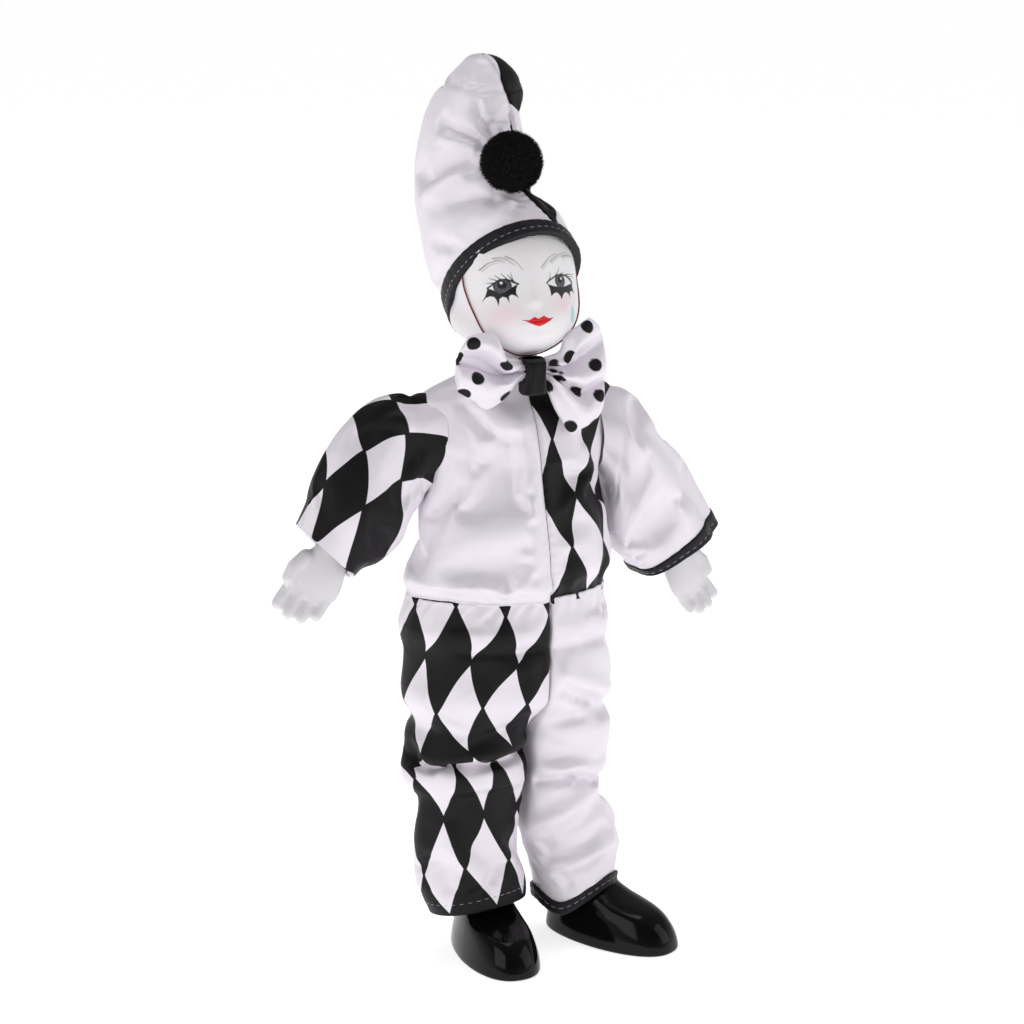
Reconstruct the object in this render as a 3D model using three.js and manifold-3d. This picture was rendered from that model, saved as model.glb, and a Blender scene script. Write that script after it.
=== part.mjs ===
// A clown doll with porcelain head, hands and shoes and black and white satin clothes.
// Millimetres, +Z up. The doll faces -Y and its left side is towards +X.
// Every place below is measured from a point on the ground under the doll's middle.
import * as THREE from "three";
import { mergeVertices } from "three/addons/utils/BufferGeometryUtils.js";
import Module from "manifold-3d";

const wasm = await Module();
wasm.setup();

// Driving sizes
const GAP = 0.3; // left between pieces that touch
const SEAM_X = 1.5; // plane of the front and back seams of the clothes
const WAIST_Z = 159;
const TUNIC_TOP = 251;
const BINDING_WIDE = 6; // bias binding of the hat, one sleeve and one trouser leg
const BINDING_PROUD = 0.7; // how far a binding stands off the satin under it
const SHOE_LONG = 64;
const SHOE_WIDE = 29;
const HEAD_CENTRE = new THREE.Vector3(-1, -1, 287);
const HEAD_WIDE = 52;
const HEAD_DEEP = 54;
const HEAD_TALL = 61;
const CHIN_FORWARD = 10; // how far the chin lies in front of the middle of the head
const NECK_RADIUS = 11;
const NECK_X = -1;
const POMPOM_ACROSS = 25.5;
const POMPOM_CENTRE = new THREE.Vector3(-3, -6, 333.5);
const ELASTIC_ACROSS = 0.8;

const FULL_TURN = 2 * Math.PI;
const DEGREE = Math.PI / 180;

const colours = {
  bisque: 0xf1eff2,
  satin: 0xe6e2ea,
  print: 0x8b878d,
  binding: 0x26242a,
  pompom: 0x111113,
  elastic: 0x6d1f24,
  glaze: 0x0c0c0e,
};

function finish(colour, roughness) {
  return new THREE.MeshStandardMaterial({ color: colour, roughness, metalness: 0 });
}

const materials = {
  bisque: finish(colours.bisque, 0.45),
  satin: finish(colours.satin, 0.35),
  print: finish(colours.print, 0.4),
  binding: finish(colours.binding, 0.6),
  pompom: finish(colours.pompom, 0.95),
  elastic: finish(colours.elastic, 0.7),
  glaze: finish(colours.glaze, 0.06),
};

// Smooth values through the rows of a table. The first column is the key that runs along it.
function through(rows) {
  const keys = rows.map(([key]) => key);
  const values = rows.flatMap(([, ...rest]) => rest);
  const curve = new THREE.CubicInterpolant(keys, values, rows[0].length - 1);
  return (key) => [...curve.evaluate(key)];
}

function smoothStep(low, high, value) {
  return THREE.MathUtils.smoothstep(value, low, high);
}

// A solid for cutting and joining, from a closed geometry with its faces out.
function solid(geometry) {
  const bare = geometry.clone();
  bare.deleteAttribute("normal");
  bare.deleteAttribute("uv");
  const merged = mergeVertices(bare, 1e-4);
  return new wasm.Manifold(
    new wasm.Mesh({
      numProp: 3,
      vertProperties: merged.attributes.position.array,
      triVerts: new Uint32Array(merged.index.array),
    }),
  );
}

// Six times the volume inside a triangle mesh, negative where its faces point in.
function sixfoldVolume(points, faces) {
  let sum = 0;
  const cross = new THREE.Vector3();
  for (let i = 0; i < faces.length; i += 3) {
    cross.crossVectors(points[faces[i + 1]], points[faces[i + 2]]);
    sum += points[faces[i]].dot(cross);
  }
  return sum;
}

// A closed solid over rings of points. pointAt(share, turn) gives the point at a share from
// 0 to 1 of the length and turn radians around. A fan closes each end.
function loft(pointAt, rings, sides) {
  const points = [];
  for (let ring = 0; ring <= rings; ring++)
    for (let side = 0; side < sides; side++)
      points.push(pointAt(ring / rings, (side / sides) * FULL_TURN));
  const at = (ring, side) => ring * sides + (side % sides);
  const faces = [];
  for (let ring = 0; ring < rings; ring++)
    for (let side = 0; side < sides; side++) {
      const corners = [
        at(ring, side),
        at(ring, side + 1),
        at(ring + 1, side + 1),
        at(ring + 1, side),
      ];
      faces.push(corners[0], corners[1], corners[2]);
      faces.push(corners[0], corners[2], corners[3]);
    }
  for (const ring of [0, rings]) {
    const middle = new THREE.Vector3();
    for (let side = 0; side < sides; side++) middle.add(points[at(ring, side)]);
    points.push(middle.divideScalar(sides));
    const last = points.length - 1;
    for (let side = 0; side < sides; side++)
      if (ring === 0) faces.push(last, at(ring, side + 1), at(ring, side));
      else faces.push(last, at(ring, side), at(ring, side + 1));
  }
  if (sixfoldVolume(points, faces) < 0) faces.reverse();
  return solid(new THREE.BufferGeometry().setFromPoints(points).setIndex(faces));
}

// A closed hoop: sectionAt(turn) gives the corners of its section, in order, at that turn.
function hoop(sectionAt, steps) {
  const points = [];
  for (let step = 0; step < steps; step++)
    points.push(...sectionAt((step / steps) * FULL_TURN));
  const corners = points.length / steps;
  const at = (step, corner) => (step % steps) * corners + (corner % corners);
  const faces = [];
  for (let step = 0; step < steps; step++)
    for (let corner = 0; corner < corners; corner++) {
      faces.push(at(step, corner), at(step, corner + 1), at(step + 1, corner + 1));
      faces.push(at(step, corner), at(step + 1, corner + 1), at(step + 1, corner));
    }
  if (sixfoldVolume(points, faces) < 0) faces.reverse();
  return solid(new THREE.BufferGeometry().setFromPoints(points).setIndex(faces));
}

function boxSolid(low, high) {
  const size = new THREE.Vector3().subVectors(high, low);
  const middle = new THREE.Vector3().addVectors(low, high).multiplyScalar(0.5);
  const box = new THREE.BoxGeometry(size.x, size.y, size.z);
  return solid(box.translate(middle.x, middle.y, middle.z));
}

// Everything to the doll's right, or left, of the seam plane.
const FAR = 300;
const rightOfSeam = boxSolid(
  new THREE.Vector3(-FAR, -FAR, -FAR),
  new THREE.Vector3(SEAM_X - GAP / 2, FAR, 2 * FAR),
);
const leftOfSeam = boxSolid(
  new THREE.Vector3(SEAM_X + GAP / 2, -FAR, -FAR),
  new THREE.Vector3(FAR, FAR, 2 * FAR),
);

// How far the folds of a cloth tube lift it at one place. A fold is a soft ridge, or a groove
// where its rise is negative, along a line: [from degrees, from height, to degrees, to height,
// width, rise]. Degrees run from +X through +Y, so the front is at 270.
function lift(folds, degrees, height, radius) {
  const perDegree = radius * DEGREE;
  let sum = 0;
  for (const [fromTurn, fromHeight, toTurn, toHeight, width, rise] of folds) {
    const away = THREE.MathUtils.euclideanModulo(degrees - fromTurn + 180, 360) - 180;
    const place = new THREE.Vector2(away * perDegree, height - fromHeight);
    const line = new THREE.Vector2((toTurn - fromTurn) * perDegree, toHeight - fromHeight);
    const share = THREE.MathUtils.clamp(place.dot(line) / line.lengthSq(), 0, 1);
    const off = place.distanceTo(line.multiplyScalar(share));
    sum += rise * Math.exp(-((off / width) ** 2));
  }
  return sum;
}

// A point on an upright cloth tube, from its section row [x, y, half width, half depth].
function onTube([x, y, halfWide, halfDeep], turn, height, proud) {
  return new THREE.Vector3(
    x + (halfWide + proud) * Math.cos(turn),
    y + (halfDeep + proud) * Math.sin(turn),
    height,
  );
}

// Shoes: glazed black porcelain, flat soles with a thin welt, and an ankle inside the trousers.
// Each row: height, heel, toe, half width; heel and toe are measured along the shoe.
const shoeLevels = [
  [0, 0.475, -0.485, 0.465],
  [0.9, 0.49, -0.5, 0.5],
  [2, 0.49, -0.5, 0.5],
  [2.6, 0.475, -0.485, 0.475],
  [7, 0.49, -0.505, 0.5],
  [11, 0.47, -0.48, 0.49],
  [14, 0.44, -0.43, 0.46],
  [16, 0.415, -0.36, 0.43],
  [17.8, 0.39, -0.26, 0.41],
  [19.8, 0.365, -0.14, 0.39],
  [23, 0.335, -0.03, 0.36],
  [38, 0.3, 0.03, 0.32],
];
const shoeWide = through(shoeLevels);
const shoeHeights = shoeLevels.map(([height]) => height);

// A power of a cosine or sine that keeps its sign, which squares up an ellipse.
function squared(value, power) {
  return Math.sign(value) * Math.abs(value) ** power;
}

function shoe({ place, toeOut }, grow = 0, sides = 18) {
  const pointAt = (share, turn) => {
    const height = shoeHeights[Math.round(share * (shoeHeights.length - 1))];
    const [heel, toe, half] = shoeWide(height);
    const middle = (heel + toe) / 2 - 0.05 * (1 - smoothStep(20, 34, height));
    const forward = Math.sin(turn) < 0;
    const reach = (forward ? middle - toe : heel - middle) * SHOE_LONG + grow;
    const power = forward ? 0.86 : 0.95;
    const taper = forward ? 1 : 1 - 0.12 * Math.sin(turn);
    const across = (half * SHOE_WIDE + grow) * taper * squared(Math.cos(turn), power);
    const along = middle * SHOE_LONG + reach * squared(Math.sin(turn), power);
    const level = share === 0 && grow > 0 ? -1 : height; // a cutter reaches below the ground
    return new THREE.Vector3(across, along, level)
      .applyAxisAngle(new THREE.Vector3(0, 0, 1), toeOut)
      .add(place);
  };
  return loft(pointAt, shoeHeights.length - 1, sides);
}

const RIGHT_FOOT = { place: new THREE.Vector3(-10.5, -3.5, 0), toeOut: 3 * DEGREE };
const LEFT_FOOT = { place: new THREE.Vector3(43, -7.5, 0), toeOut: 26 * DEGREE };
// A cutter has fewer sides than the piece it makes room for, so it stands further out.
const CUT_SIDES = 14;
const CUT_ROOM = GAP + 0.7;
const shoeRight = shoe(RIGHT_FOOT);
const shoeLeft = shoe(LEFT_FOOT);

// Trousers: two legs of different satin, sewn together at the seam. Section rows:
// height, centre x, centre y, half width, half depth.
const HIPS_FROM = 103;
const hips = through([
  [HIPS_FROM, -1.5, 2, 38, 20],
  [109, -2, 2, 43.2, 25],
  [116, -2.2, 2, 45.3, 29],
  [130, -1.5, 2, 43.8, 29.5],
  [137, -1.8, 2, 43.6, 28.8],
  [147, -3, 2, 44.2, 29.5],
  [153, -2.8, 2, 43.8, 29],
  [WAIST_Z, -1.8, 2, 43, 28.5],
]);
const LEG_TOP_Z = 119;
const rightLeg = through([
  [18, -14.5, 4, 20.5, 18],
  [28, -16, 3.5, 23, 18],
  [45, -19.3, 2.5, 21.8, 17],
  [60, -20, 2, 22.5, 17.5],
  [74, -19.5, 2, 24.3, 18.5],
  [81, -20.5, 1.5, 27.3, 20.5],
  [86.5, -21, 1.5, 27, 21],
  [92, -20.6, 2, 25, 21],
  [104, -21.2, 2, 25.4, 25],
  [112, -21.2, 2, 24, 28],
  [LEG_TOP_Z, -21, 2, 20.5, 26],
]);
const leftLeg = through([
  [10, 31.4, 4, 17, 15.2],
  [16, 31.2, 4, 17.2, 15.5],
  [24, 30.8, 3.8, 17.8, 16],
  [34, 30, 3.5, 19.2, 17.5],
  [46, 27.5, 3, 20.5, 18],
  [56, 24, 2.5, 20, 17.5],
  [66, 21, 2, 18.5, 16.5],
  [76, 20.5, 2, 18.5, 17.5],
  [90, 21.5, 2, 20.7, 20.5],
  [104, 21, 2, 22.2, 25],
  [112, 20.5, 2, 21.8, 28],
  [LEG_TOP_Z, 20, 2, 18.5, 26],
]);
const hipFolds = [
  [215, 139, 330, 137, 2.2, -1],
  [288, 150, 294, 118, 5, 1.2],
  [318, 132, 352, 116, 4, -1.8],
  [232, 128, 240, 112, 6, -1.2],
];
const rightLegFolds = [
  [228, 83.6, 335, 84.6, 2.6, -4.2],
  [222, 88.5, 330, 89.5, 3.6, 2.4],
  [262, 96, 300, 99, 2.6, -1.8],
  [240, 62, 262, 48, 4, -1.2],
  [300, 40, 270, 34, 3, -1],
];
const leftLegFolds = [
  [250, 80, 330, 98, 4, -2.2],
  [240, 62, 320, 84, 4, 2.4],
  [238, 52, 330, 72, 3.4, -2.6],
  [236, 42, 318, 60, 4, 2.4],
  [250, 34, 330, 46, 3, -2],
  [262, 30, 292, 26, 2, -1.2],
  [330, 62, 350, 52, 3, 1.6],
];
const CROTCH_Z = 101;
const HEM_DEPTH = 8; // how far the open end of a trouser leg reaches up inside
const HEM_WALL = 3;
const LEG_SIDES = 18;
// Each hem is a slanted line: its mean height, half its rise, and the degrees of its highest point.
const RIGHT_HEM = { mean: 21.5, rise: 3.5, highest: 300 };
const LEFT_HEM = { mean: 17.5, rise: 6, highest: 300 };
const hemHeight = ({ mean, rise, highest }, turn) =>
  mean + rise * Math.cos(turn - highest * DEGREE);

const hipSolid = loft(
  (share, turn) => {
    const height = THREE.MathUtils.lerp(HIPS_FROM, WAIST_Z, share);
    const proud = lift(hipFolds, turn / DEGREE, height, 38);
    return onTube(hips(height), turn, height, proud);
  },
  7,
  24,
);

// The legs lean together above the knees and stand apart below.
const betweenLegs = through([
  [10, 9.5],
  [35, 7],
  [52, 4.2],
  [70, 4.5],
  [90, 4],
  [CROTCH_Z, SEAM_X],
  [LEG_TOP_Z, SEAM_X],
]);

function leg(section, folds, foot, bottomAt, leftSide) {
  const pointAt = (share, turn) => {
    const height = THREE.MathUtils.lerp(bottomAt(turn), LEG_TOP_Z, share);
    const proud = lift(folds, turn / DEGREE, height, 21);
    const point = onTube(section(height), turn, height, proud);
    const [middle] = betweenLegs(height);
    const side = leftSide ? 1 : -1;
    const clear = side * (point.x - middle) - GAP;
    if (clear < 0) point.x = middle + side * GAP;
    return point;
  };
  const hollow = (share, turn) => {
    const height = bottomAt(turn) - 1 + share * (HEM_DEPTH + 1);
    return onTube(section(height), turn, height, -HEM_WALL);
  };
  return loft(pointAt, 18, LEG_SIDES)
    .subtract(loft(hollow, 1, 16))
    .subtract(shoe(foot, CUT_ROOM, CUT_SIDES));
}

const hipRight = hipSolid.intersect(rightOfSeam);
const hipLeft = hipSolid.intersect(leftOfSeam);
const trousersRight = leg(
  rightLeg,
  rightLegFolds,
  RIGHT_FOOT,
  (turn) => hemHeight(RIGHT_HEM, turn),
  false,
).add(hipRight);
const trousersLeft = leg(
  leftLeg,
  leftLegFolds,
  LEFT_FOOT,
  (turn) => hemHeight(LEFT_HEM, turn) + BINDING_WIDE + GAP,
  true,
).add(hipLeft);

// The binding of the left leg, a flat band round the gathered hem.
const BINDING_THICK = 2;
const bandSection = [
  [0, 0],
  [BINDING_PROUD, 0.12],
  [BINDING_PROUD, 0.88],
  [0, 1],
  [-BINDING_THICK, 0.85],
  [-BINDING_THICK, 0],
];
const trousersBinding = hoop(
  (turn) =>
    bandSection.map(([proud, share]) => {
      const height = hemHeight(LEFT_HEM, turn) + share * BINDING_WIDE;
      return onTube(leftLeg(height), turn, height, proud);
    }),
  LEG_SIDES,
).subtract(shoe(LEFT_FOOT, CUT_ROOM, CUT_SIDES));

// Tunic: two panels sewn at the front and back, tucked into the waist of the trousers.
const tunicFoot = WAIST_Z + GAP;
const tunic = through([
  [tunicFoot, -1.4, 1.5, 42, 27.5],
  [164, -1.6, 1, 43.2, 29],
  [173, -1.4, 0.5, 42.6, 29.5],
  [187, -1.2, 0, 40, 28.5],
  [205, -0.5, 0, 37.5, 26],
  [220, 0.5, 0, 39.5, 23],
  [234, 1, 0, 42.5, 17.5],
  [240, 1, 0, 42.5, 14],
  [244, 0.5, 0, 36, 12.8],
  [248, -0.5, 0, 24, 12.4],
  [TUNIC_TOP, -1, 0, 14.5, 12],
]);
const tunicFolds = [
  [250, 240, 268, 196, 5, 1.6],
  [238, 236, 252, 212, 4, -1.4],
  [262, 206, 286, 170, 7, -1.6],
  [228, 200, 232, 166, 5, 1.3],
  [244, 168, 240, 158, 3, -1.2],
  [268, 166, 266, 158, 3, -1.2],
  [292, 166, 296, 158, 3, -1],
];
const NECK_FROM = 241;
function neckSolid(grow, length) {
  const cylinder = new THREE.CylinderGeometry(NECK_RADIUS + grow, NECK_RADIUS + grow, length, 16);
  return solid(cylinder.rotateX(Math.PI / 2).translate(NECK_X, 0, NECK_FROM - grow + length / 2));
}
const tunicSolid = loft(
  (share, turn) => {
    const height = THREE.MathUtils.lerp(tunicFoot, TUNIC_TOP, share);
    const proud = lift(tunicFolds, turn / DEGREE, height, 36);
    return onTube(tunic(height), turn, height, proud);
  },
  11,
  26,
).subtract(neckSolid(GAP, 30));

// Sleeves: wide bells. Rows: share of the length, centre x y z, then the half vector to the
// outer edge of the section, x y z, and its half depth towards the front.
const rightSleeve = through([
  [0, -34, 0, 223, 2, 0, 17, 12],
  [0.12, -41, 0, 221, -1, 0, 20, 14],
  [0.3, -50, 1, 215.5, -5, 0.5, 25, 15],
  [0.5, -59.5, 2, 207.5, -9, 1.5, 24, 15.5],
  [0.7, -68, 3, 198.3, -11.5, 2, 20.8, 15.5],
  [0.86, -74.5, 4, 189.5, -13, 2.5, 15.2, 15.5],
  [1, -79.5, 4.5, 182.5, -13.5, 3, 11.5, 15.5],
]);
const leftSleeve = through([
  [0, 35, -1, 223, -2, 0, 16.5, 12],
  [0.12, 42, -1, 219, 1, -1, 20.5, 14],
  [0.3, 49, -0.5, 209, 5.5, -1, 24.5, 15],
  [0.5, 57, 0.5, 198, 10, -0.5, 21.5, 15],
  [0.7, 65.5, 2, 186, 14, 0, 17, 14.5],
  [0.86, 73, 3, 175.5, 17, 0.5, 12.5, 14.5],
  [1, 79, 4, 166.5, 18.5, 1, 9, 14.5],
]);
const rightSleeveFolds = [
  [230, 0.1, 250, 0.45, 0.1, -1.6],
  [300, 0.2, 290, 0.6, 0.12, 1.4],
  [330, 0.15, 326, 0.5, 0.1, -1.8],
];
const leftSleeveFolds = [
  [240, 0.1, 262, 0.7, 0.1, -1.8],
  [285, 0.2, 282, 0.8, 0.1, 1.6],
  [312, 0.3, 320, 1, 0.12, -2],
];
const SLEEVE_THICK = 1.6;
const MOUTH_FROM = 0.82; // share of a sleeve's length where its open mouth begins inside

// A point on a sleeve: turn 0 is the outer edge and a quarter turn back is the front.
function onSleeve(section, folds, share, turn, proud) {
  const row = section(share);
  const centre = new THREE.Vector3(...row.slice(0, 3));
  const outer = new THREE.Vector3(...row.slice(3, 6));
  const reach = outer.length();
  const front = new THREE.Vector3(0, -1, 0);
  front.addScaledVector(outer, -front.dot(outer) / outer.lengthSq()).normalize();
  const raised = proud + lift(folds, turn / DEGREE, share, 0.45);
  return centre
    .addScaledVector(outer, (Math.cos(turn) * (reach + raised)) / reach)
    .addScaledVector(front, -Math.sin(turn) * (row[6] + raised));
}

function sleeve(section, folds, arm, from, to) {
  const outside = loft(
    (share, turn) => onSleeve(section, folds, THREE.MathUtils.lerp(from, to, share), turn, 0),
    8,
    18,
  );
  const mouth = loft(
    (share, turn) =>
      onSleeve(section, folds, THREE.MathUtils.lerp(MOUTH_FROM, 1.1, share), turn, -SLEEVE_THICK),
    2,
    14,
  );
  return outside.subtract(mouth).subtract(arm);
}

// Hands: white bisque porcelain, made in one with the forearm that fills the sleeve. In its own
// frame a hand hangs down -Z, its palm faces -Y, and its origin is where the sleeve ends.
function capsule(from, to, radiusFrom, radiusTo, sides = 7) {
  const axis = new THREE.Vector3().subVectors(to, from);
  const length = axis.length();
  const turned = new THREE.Quaternion().setFromUnitVectors(
    new THREE.Vector3(0, 1, 0),
    axis.normalize(),
  );
  const round = (radius, degrees) => radius * Math.cos(degrees * DEGREE);
  const rise = (radius, degrees) => radius * Math.sin(degrees * DEGREE);
  const profile = [new THREE.Vector2(0, -radiusFrom)];
  for (const degrees of [-50, -10])
    profile.push(new THREE.Vector2(round(radiusFrom, degrees), rise(radiusFrom, degrees)));
  for (const degrees of [10, 50])
    profile.push(new THREE.Vector2(round(radiusTo, degrees), length + rise(radiusTo, degrees)));
  profile.push(new THREE.Vector2(0, length + radiusTo));
  const geometry = new THREE.LatheGeometry(profile, sides).applyQuaternion(turned);
  return solid(geometry.translate(from.x, from.y, from.z));
}

// Each finger: across the hand and down at the root, the same at the tip, and two radii. The
// first is the forefinger, on the thumb's side.
const fingers = [
  [7.9, -11, 8.6, -21.6, 2.9, 2.5],
  [2.7, -12, 3, -22.8, 2.9, 2.6],
  [-2.5, -12, -2.4, -21.8, 2.8, 2.5],
  [-7.2, -11, -7.2, -18.2, 2.6, 2.3],
];
const palmLevels = [
  [-14, 9.4, 3],
  [-8, 10.8, 4.2],
  [-1, 9.8, 5],
  [7, 7.4, 5.2],
  [18, 7.8, 6.6],
  [38, 8.4, 8],
];

function forearm(levels, grow, sides) {
  return loft(
    (share, turn) => {
      const [height, halfWide, halfDeep] = levels[Math.round(share * (levels.length - 1))];
      return onTube([0, 0, halfWide, halfDeep], turn, height, grow);
    },
    levels.length - 1,
    sides,
  );
}

function hand(outer) {
  let whole = forearm(palmLevels, 0, 10);
  for (const [rootX, rootZ, tipX, tipZ, rootRadius, tipRadius] of fingers) {
    const root = new THREE.Vector3(outer * rootX, 0, rootZ);
    const tip = new THREE.Vector3(outer * tipX, -1.5, tipZ);
    whole = whole.add(capsule(root, tip, rootRadius, tipRadius));
  }
  const thumbRoot = new THREE.Vector3(outer * 8, -1.5, 0);
  const thumbTip = new THREE.Vector3(outer * 10, -3, -10.5);
  return whole.add(capsule(thumbRoot, thumbTip, 3.6, 2.9));
}

// Places a solid by a three.js matrix.
function placed(manifold, matrix) {
  return solid(geometryOf(manifold).applyMatrix4(matrix));
}

function geometryOf(manifold) {
  const mesh = manifold.getMesh();
  const geometry = new THREE.BufferGeometry();
  const position = new THREE.BufferAttribute(new Float32Array(mesh.vertProperties), 3);
  geometry.setAttribute("position", position);
  geometry.setIndex(new THREE.BufferAttribute(new Uint32Array(mesh.triVerts), 1));
  return geometry;
}

// The hands hang outwards, turned so that their palms face a little apart.
function handMatrix(cuff, leanOut, outer) {
  const matrix = new THREE.Matrix4().makeTranslation(cuff);
  matrix.multiply(new THREE.Matrix4().makeRotationY(-outer * leanOut));
  matrix.multiply(new THREE.Matrix4().makeRotationZ(outer * 25 * DEGREE));
  return matrix;
}

const RIGHT_CUFF = new THREE.Vector3(-82.5, 1, 175);
const LEFT_CUFF = new THREE.Vector3(80.6, 4, 158.6);
const rightHandMatrix = handMatrix(RIGHT_CUFF, 34 * DEGREE, -1);
const leftHandMatrix = handMatrix(LEFT_CUFF, 28 * DEGREE, 1);
const handRight = placed(hand(-1), rightHandMatrix);
const handLeft = placed(hand(1), leftHandMatrix);
const armCut = forearm(
  [
    [-8, 13.5, 7.5],
    [38 + CUT_ROOM, 13.5, 9],
  ],
  CUT_ROOM,
  CUT_SIDES,
);
const armCutRight = placed(armCut, rightHandMatrix);
const armCutLeft = placed(armCut, leftHandMatrix);

const sleeveRightWhole = sleeve(rightSleeve, rightSleeveFolds, armCutRight, 0, 1);
const bindingShare = BINDING_WIDE / 68; // the left sleeve is 68 mm long along its middle
const sleeveLeftWhole = sleeve(leftSleeve, leftSleeveFolds, armCutLeft, 0, 1 - bindingShare - 0.005);
const sleeveBinding = hoop(
  (turn) =>
    bandSection.map(([proud, share]) => {
      const along = 1 - bindingShare * (1 - share);
      return onSleeve(leftSleeve, leftSleeveFolds, along, turn, proud);
    }),
  20,
).subtract(armCutLeft);

// Each sleeve is set into the tunic at an armhole, where the tunic gives way to it.
const ARMHOLE_X = 38.5;
function beyond(side, x) {
  return boxSolid(
    new THREE.Vector3(side > 0 ? x : -FAR, -FAR, 0),
    new THREE.Vector3(side > 0 ? FAR : -x, FAR, FAR),
  );
}
function armhole(side, section, folds) {
  const room = loft(
    (share, turn) => onSleeve(section, folds, share * 0.6, turn, 2 * GAP),
    5,
    18,
  );
  return room.intersect(beyond(side, ARMHOLE_X - GAP));
}
const tunicRight = tunicSolid
  .intersect(rightOfSeam)
  .subtract(armhole(-1, rightSleeve, rightSleeveFolds));
const tunicLeft = tunicSolid
  .intersect(leftOfSeam)
  .subtract(armhole(1, leftSleeve, leftSleeveFolds));
const sleeveRight = sleeveRightWhole.intersect(beyond(-1, ARMHOLE_X));
const sleeveLeft = sleeveLeftWhole.intersect(beyond(1, ARMHOLE_X));

// Head: white bisque porcelain with a short neck that stands in the collar of the tunic.
function headPoint(direction, grow) {
  const { x, y, z } = direction;
  const low = smoothStep(0, 1, -z);
  const jaw = 1 + 0.05 * smoothStep(0.1, 0.7, -z) - 0.08 * smoothStep(0.7, 1, -z);
  const wide = (HEAD_WIDE / 2) * jaw * (1 - 0.02 * smoothStep(0.3, 1, z));
  const back = y > 0 ? 1 : 0.98;
  const point = new THREE.Vector3(
    x * (wide + grow),
    y * ((HEAD_DEEP / 2) * back + grow) - CHIN_FORWARD * low,
    z * (HEAD_TALL / 2 + grow),
  );
  const front = smoothStep(0, 0.4, -y);
  const bump = (atX, atZ, wideX, wideZ) =>
    front * Math.exp(-(((point.x - atX) / wideX) ** 2) - ((point.z - atZ) / wideZ) ** 2);
  point.y -= 1.9 * bump(0, -6, 3, 4.5);
  point.y -= 0.9 * bump(0, -13.5, 5.5, 2.2);
  point.y -= 1 * bump(0, -23, 6, 4);
  point.y += 0.9 * (bump(-12, 3, 6, 4) + bump(12, 3, 6, 4));
  return point;
}

const headTilt = new THREE.Euler(-6 * DEGREE, -4 * DEGREE, 0);

function head(grow = 0, around = 22, levels = 14) {
  const ball = new THREE.SphereGeometry(1, around, levels).rotateX(Math.PI / 2);
  const position = ball.getAttribute("position");
  const direction = new THREE.Vector3();
  for (let i = 0; i < position.count; i++) {
    direction.fromBufferAttribute(position, i);
    const point = headPoint(direction, grow).applyEuler(headTilt).add(HEAD_CENTRE);
    position.setXYZ(i, point.x, point.y, point.z);
  }
  return solid(ball).add(neckSolid(grow, 30));
}

const headSolid = head();
const headCut = head(GAP + 0.9, 16, 11);

// Hat: a tall stuffed cap of two panels that leans back, seamed from forehead to crown. Rows:
// share of the length, centre x y z, half width, half depth, and how far the section is tipped.
const HAT_BRIM_TIP = 45;
const hatRows = through([
  [0, 0, 0.3, 282.8, 27.6, 35.6, HAT_BRIM_TIP],
  [0.15, -1.6, 6, 291.5, 27.6, 33, 43],
  [0.32, -3, 14, 305, 26.4, 29.5, 38],
  [0.5, -4.4, 21.5, 320, 23.8, 26, 28],
  [0.67, -4.8, 26.5, 335.5, 21, 23, 16],
  [0.82, -3.6, 27, 350, 18.6, 20, 4],
  [0.92, -1.6, 25.5, 361, 15.8, 15.5, -4],
  [0.98, -0.9, 23.5, 370, 10, 9.4, -8],
  [1, -2, 22.5, 374.5, 2.5, 2.8, -10],
]);
const hatFolds = [
  [262, 0.47, 205, 0.36, 0.04, 1.3],
  [262, 0.5, 200, 0.5, 0.04, -1.4],
  [262, 0.56, 205, 0.62, 0.04, 1.3],
  [264, 0.62, 215, 0.75, 0.04, -1.3],
  [280, 0.6, 320, 0.72, 0.04, 1.2],
  [298, 0.48, 356, 0.43, 0.08, -6],
];

function onHat(share, turn, proud) {
  const [x, y, z, halfWide, halfDeep, tip] = hatRows(share);
  const raised = proud + lift(hatFolds, turn / DEGREE, share, 0.35);
  const across = (halfWide + raised) * Math.cos(turn);
  const deep = (halfDeep + raised) * Math.sin(turn);
  return new THREE.Vector3(
    x + across,
    y + deep * Math.cos(tip * DEGREE),
    z - deep * Math.sin(tip * DEGREE),
  );
}

const hatBindingShare = 0.102; // the binding's share of the hat's length
function hatLoft(from, proud) {
  return loft(
    (share, turn) => onHat(THREE.MathUtils.lerp(from, 1, share), turn, proud),
    12,
    22,
  );
}
const hatSolid = hatLoft(hatBindingShare + 0.005, 0).subtract(headCut);

// The seam of the hat slants: it starts over the doll's left brow and ends at the crown.
const HAT_SEAM = { foot: new THREE.Vector3(8, 0, 308), slant: -9 * DEGREE };
function besideHatSeam(side) {
  const block = new THREE.BoxGeometry(FAR, FAR, FAR)
    .translate((side * (FAR + GAP)) / 2, 0, 0)
    .rotateY(HAT_SEAM.slant)
    .translate(...HAT_SEAM.foot.toArray());
  return solid(block);
}
const hatRight = hatSolid.intersect(besideHatSeam(-1));
const hatLeft = hatSolid.intersect(besideHatSeam(1));
const hatBinding = hoop(
  (turn) =>
    bandSection.map(([proud, share]) => {
      const inside = proud < 0 ? -4.5 : proud;
      return onHat(share * hatBindingShare, turn, inside);
    }),
  20,
).subtract(headCut);

// Pompom: a ball of black yarn tufts sewn to the front seam of the hat.
const pompom = solid(
  new THREE.IcosahedronGeometry(POMPOM_ACROSS / 2, 2).translate(...POMPOM_CENTRE.toArray()),
).subtract(hatLoft(hatBindingShare, GAP));

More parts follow.
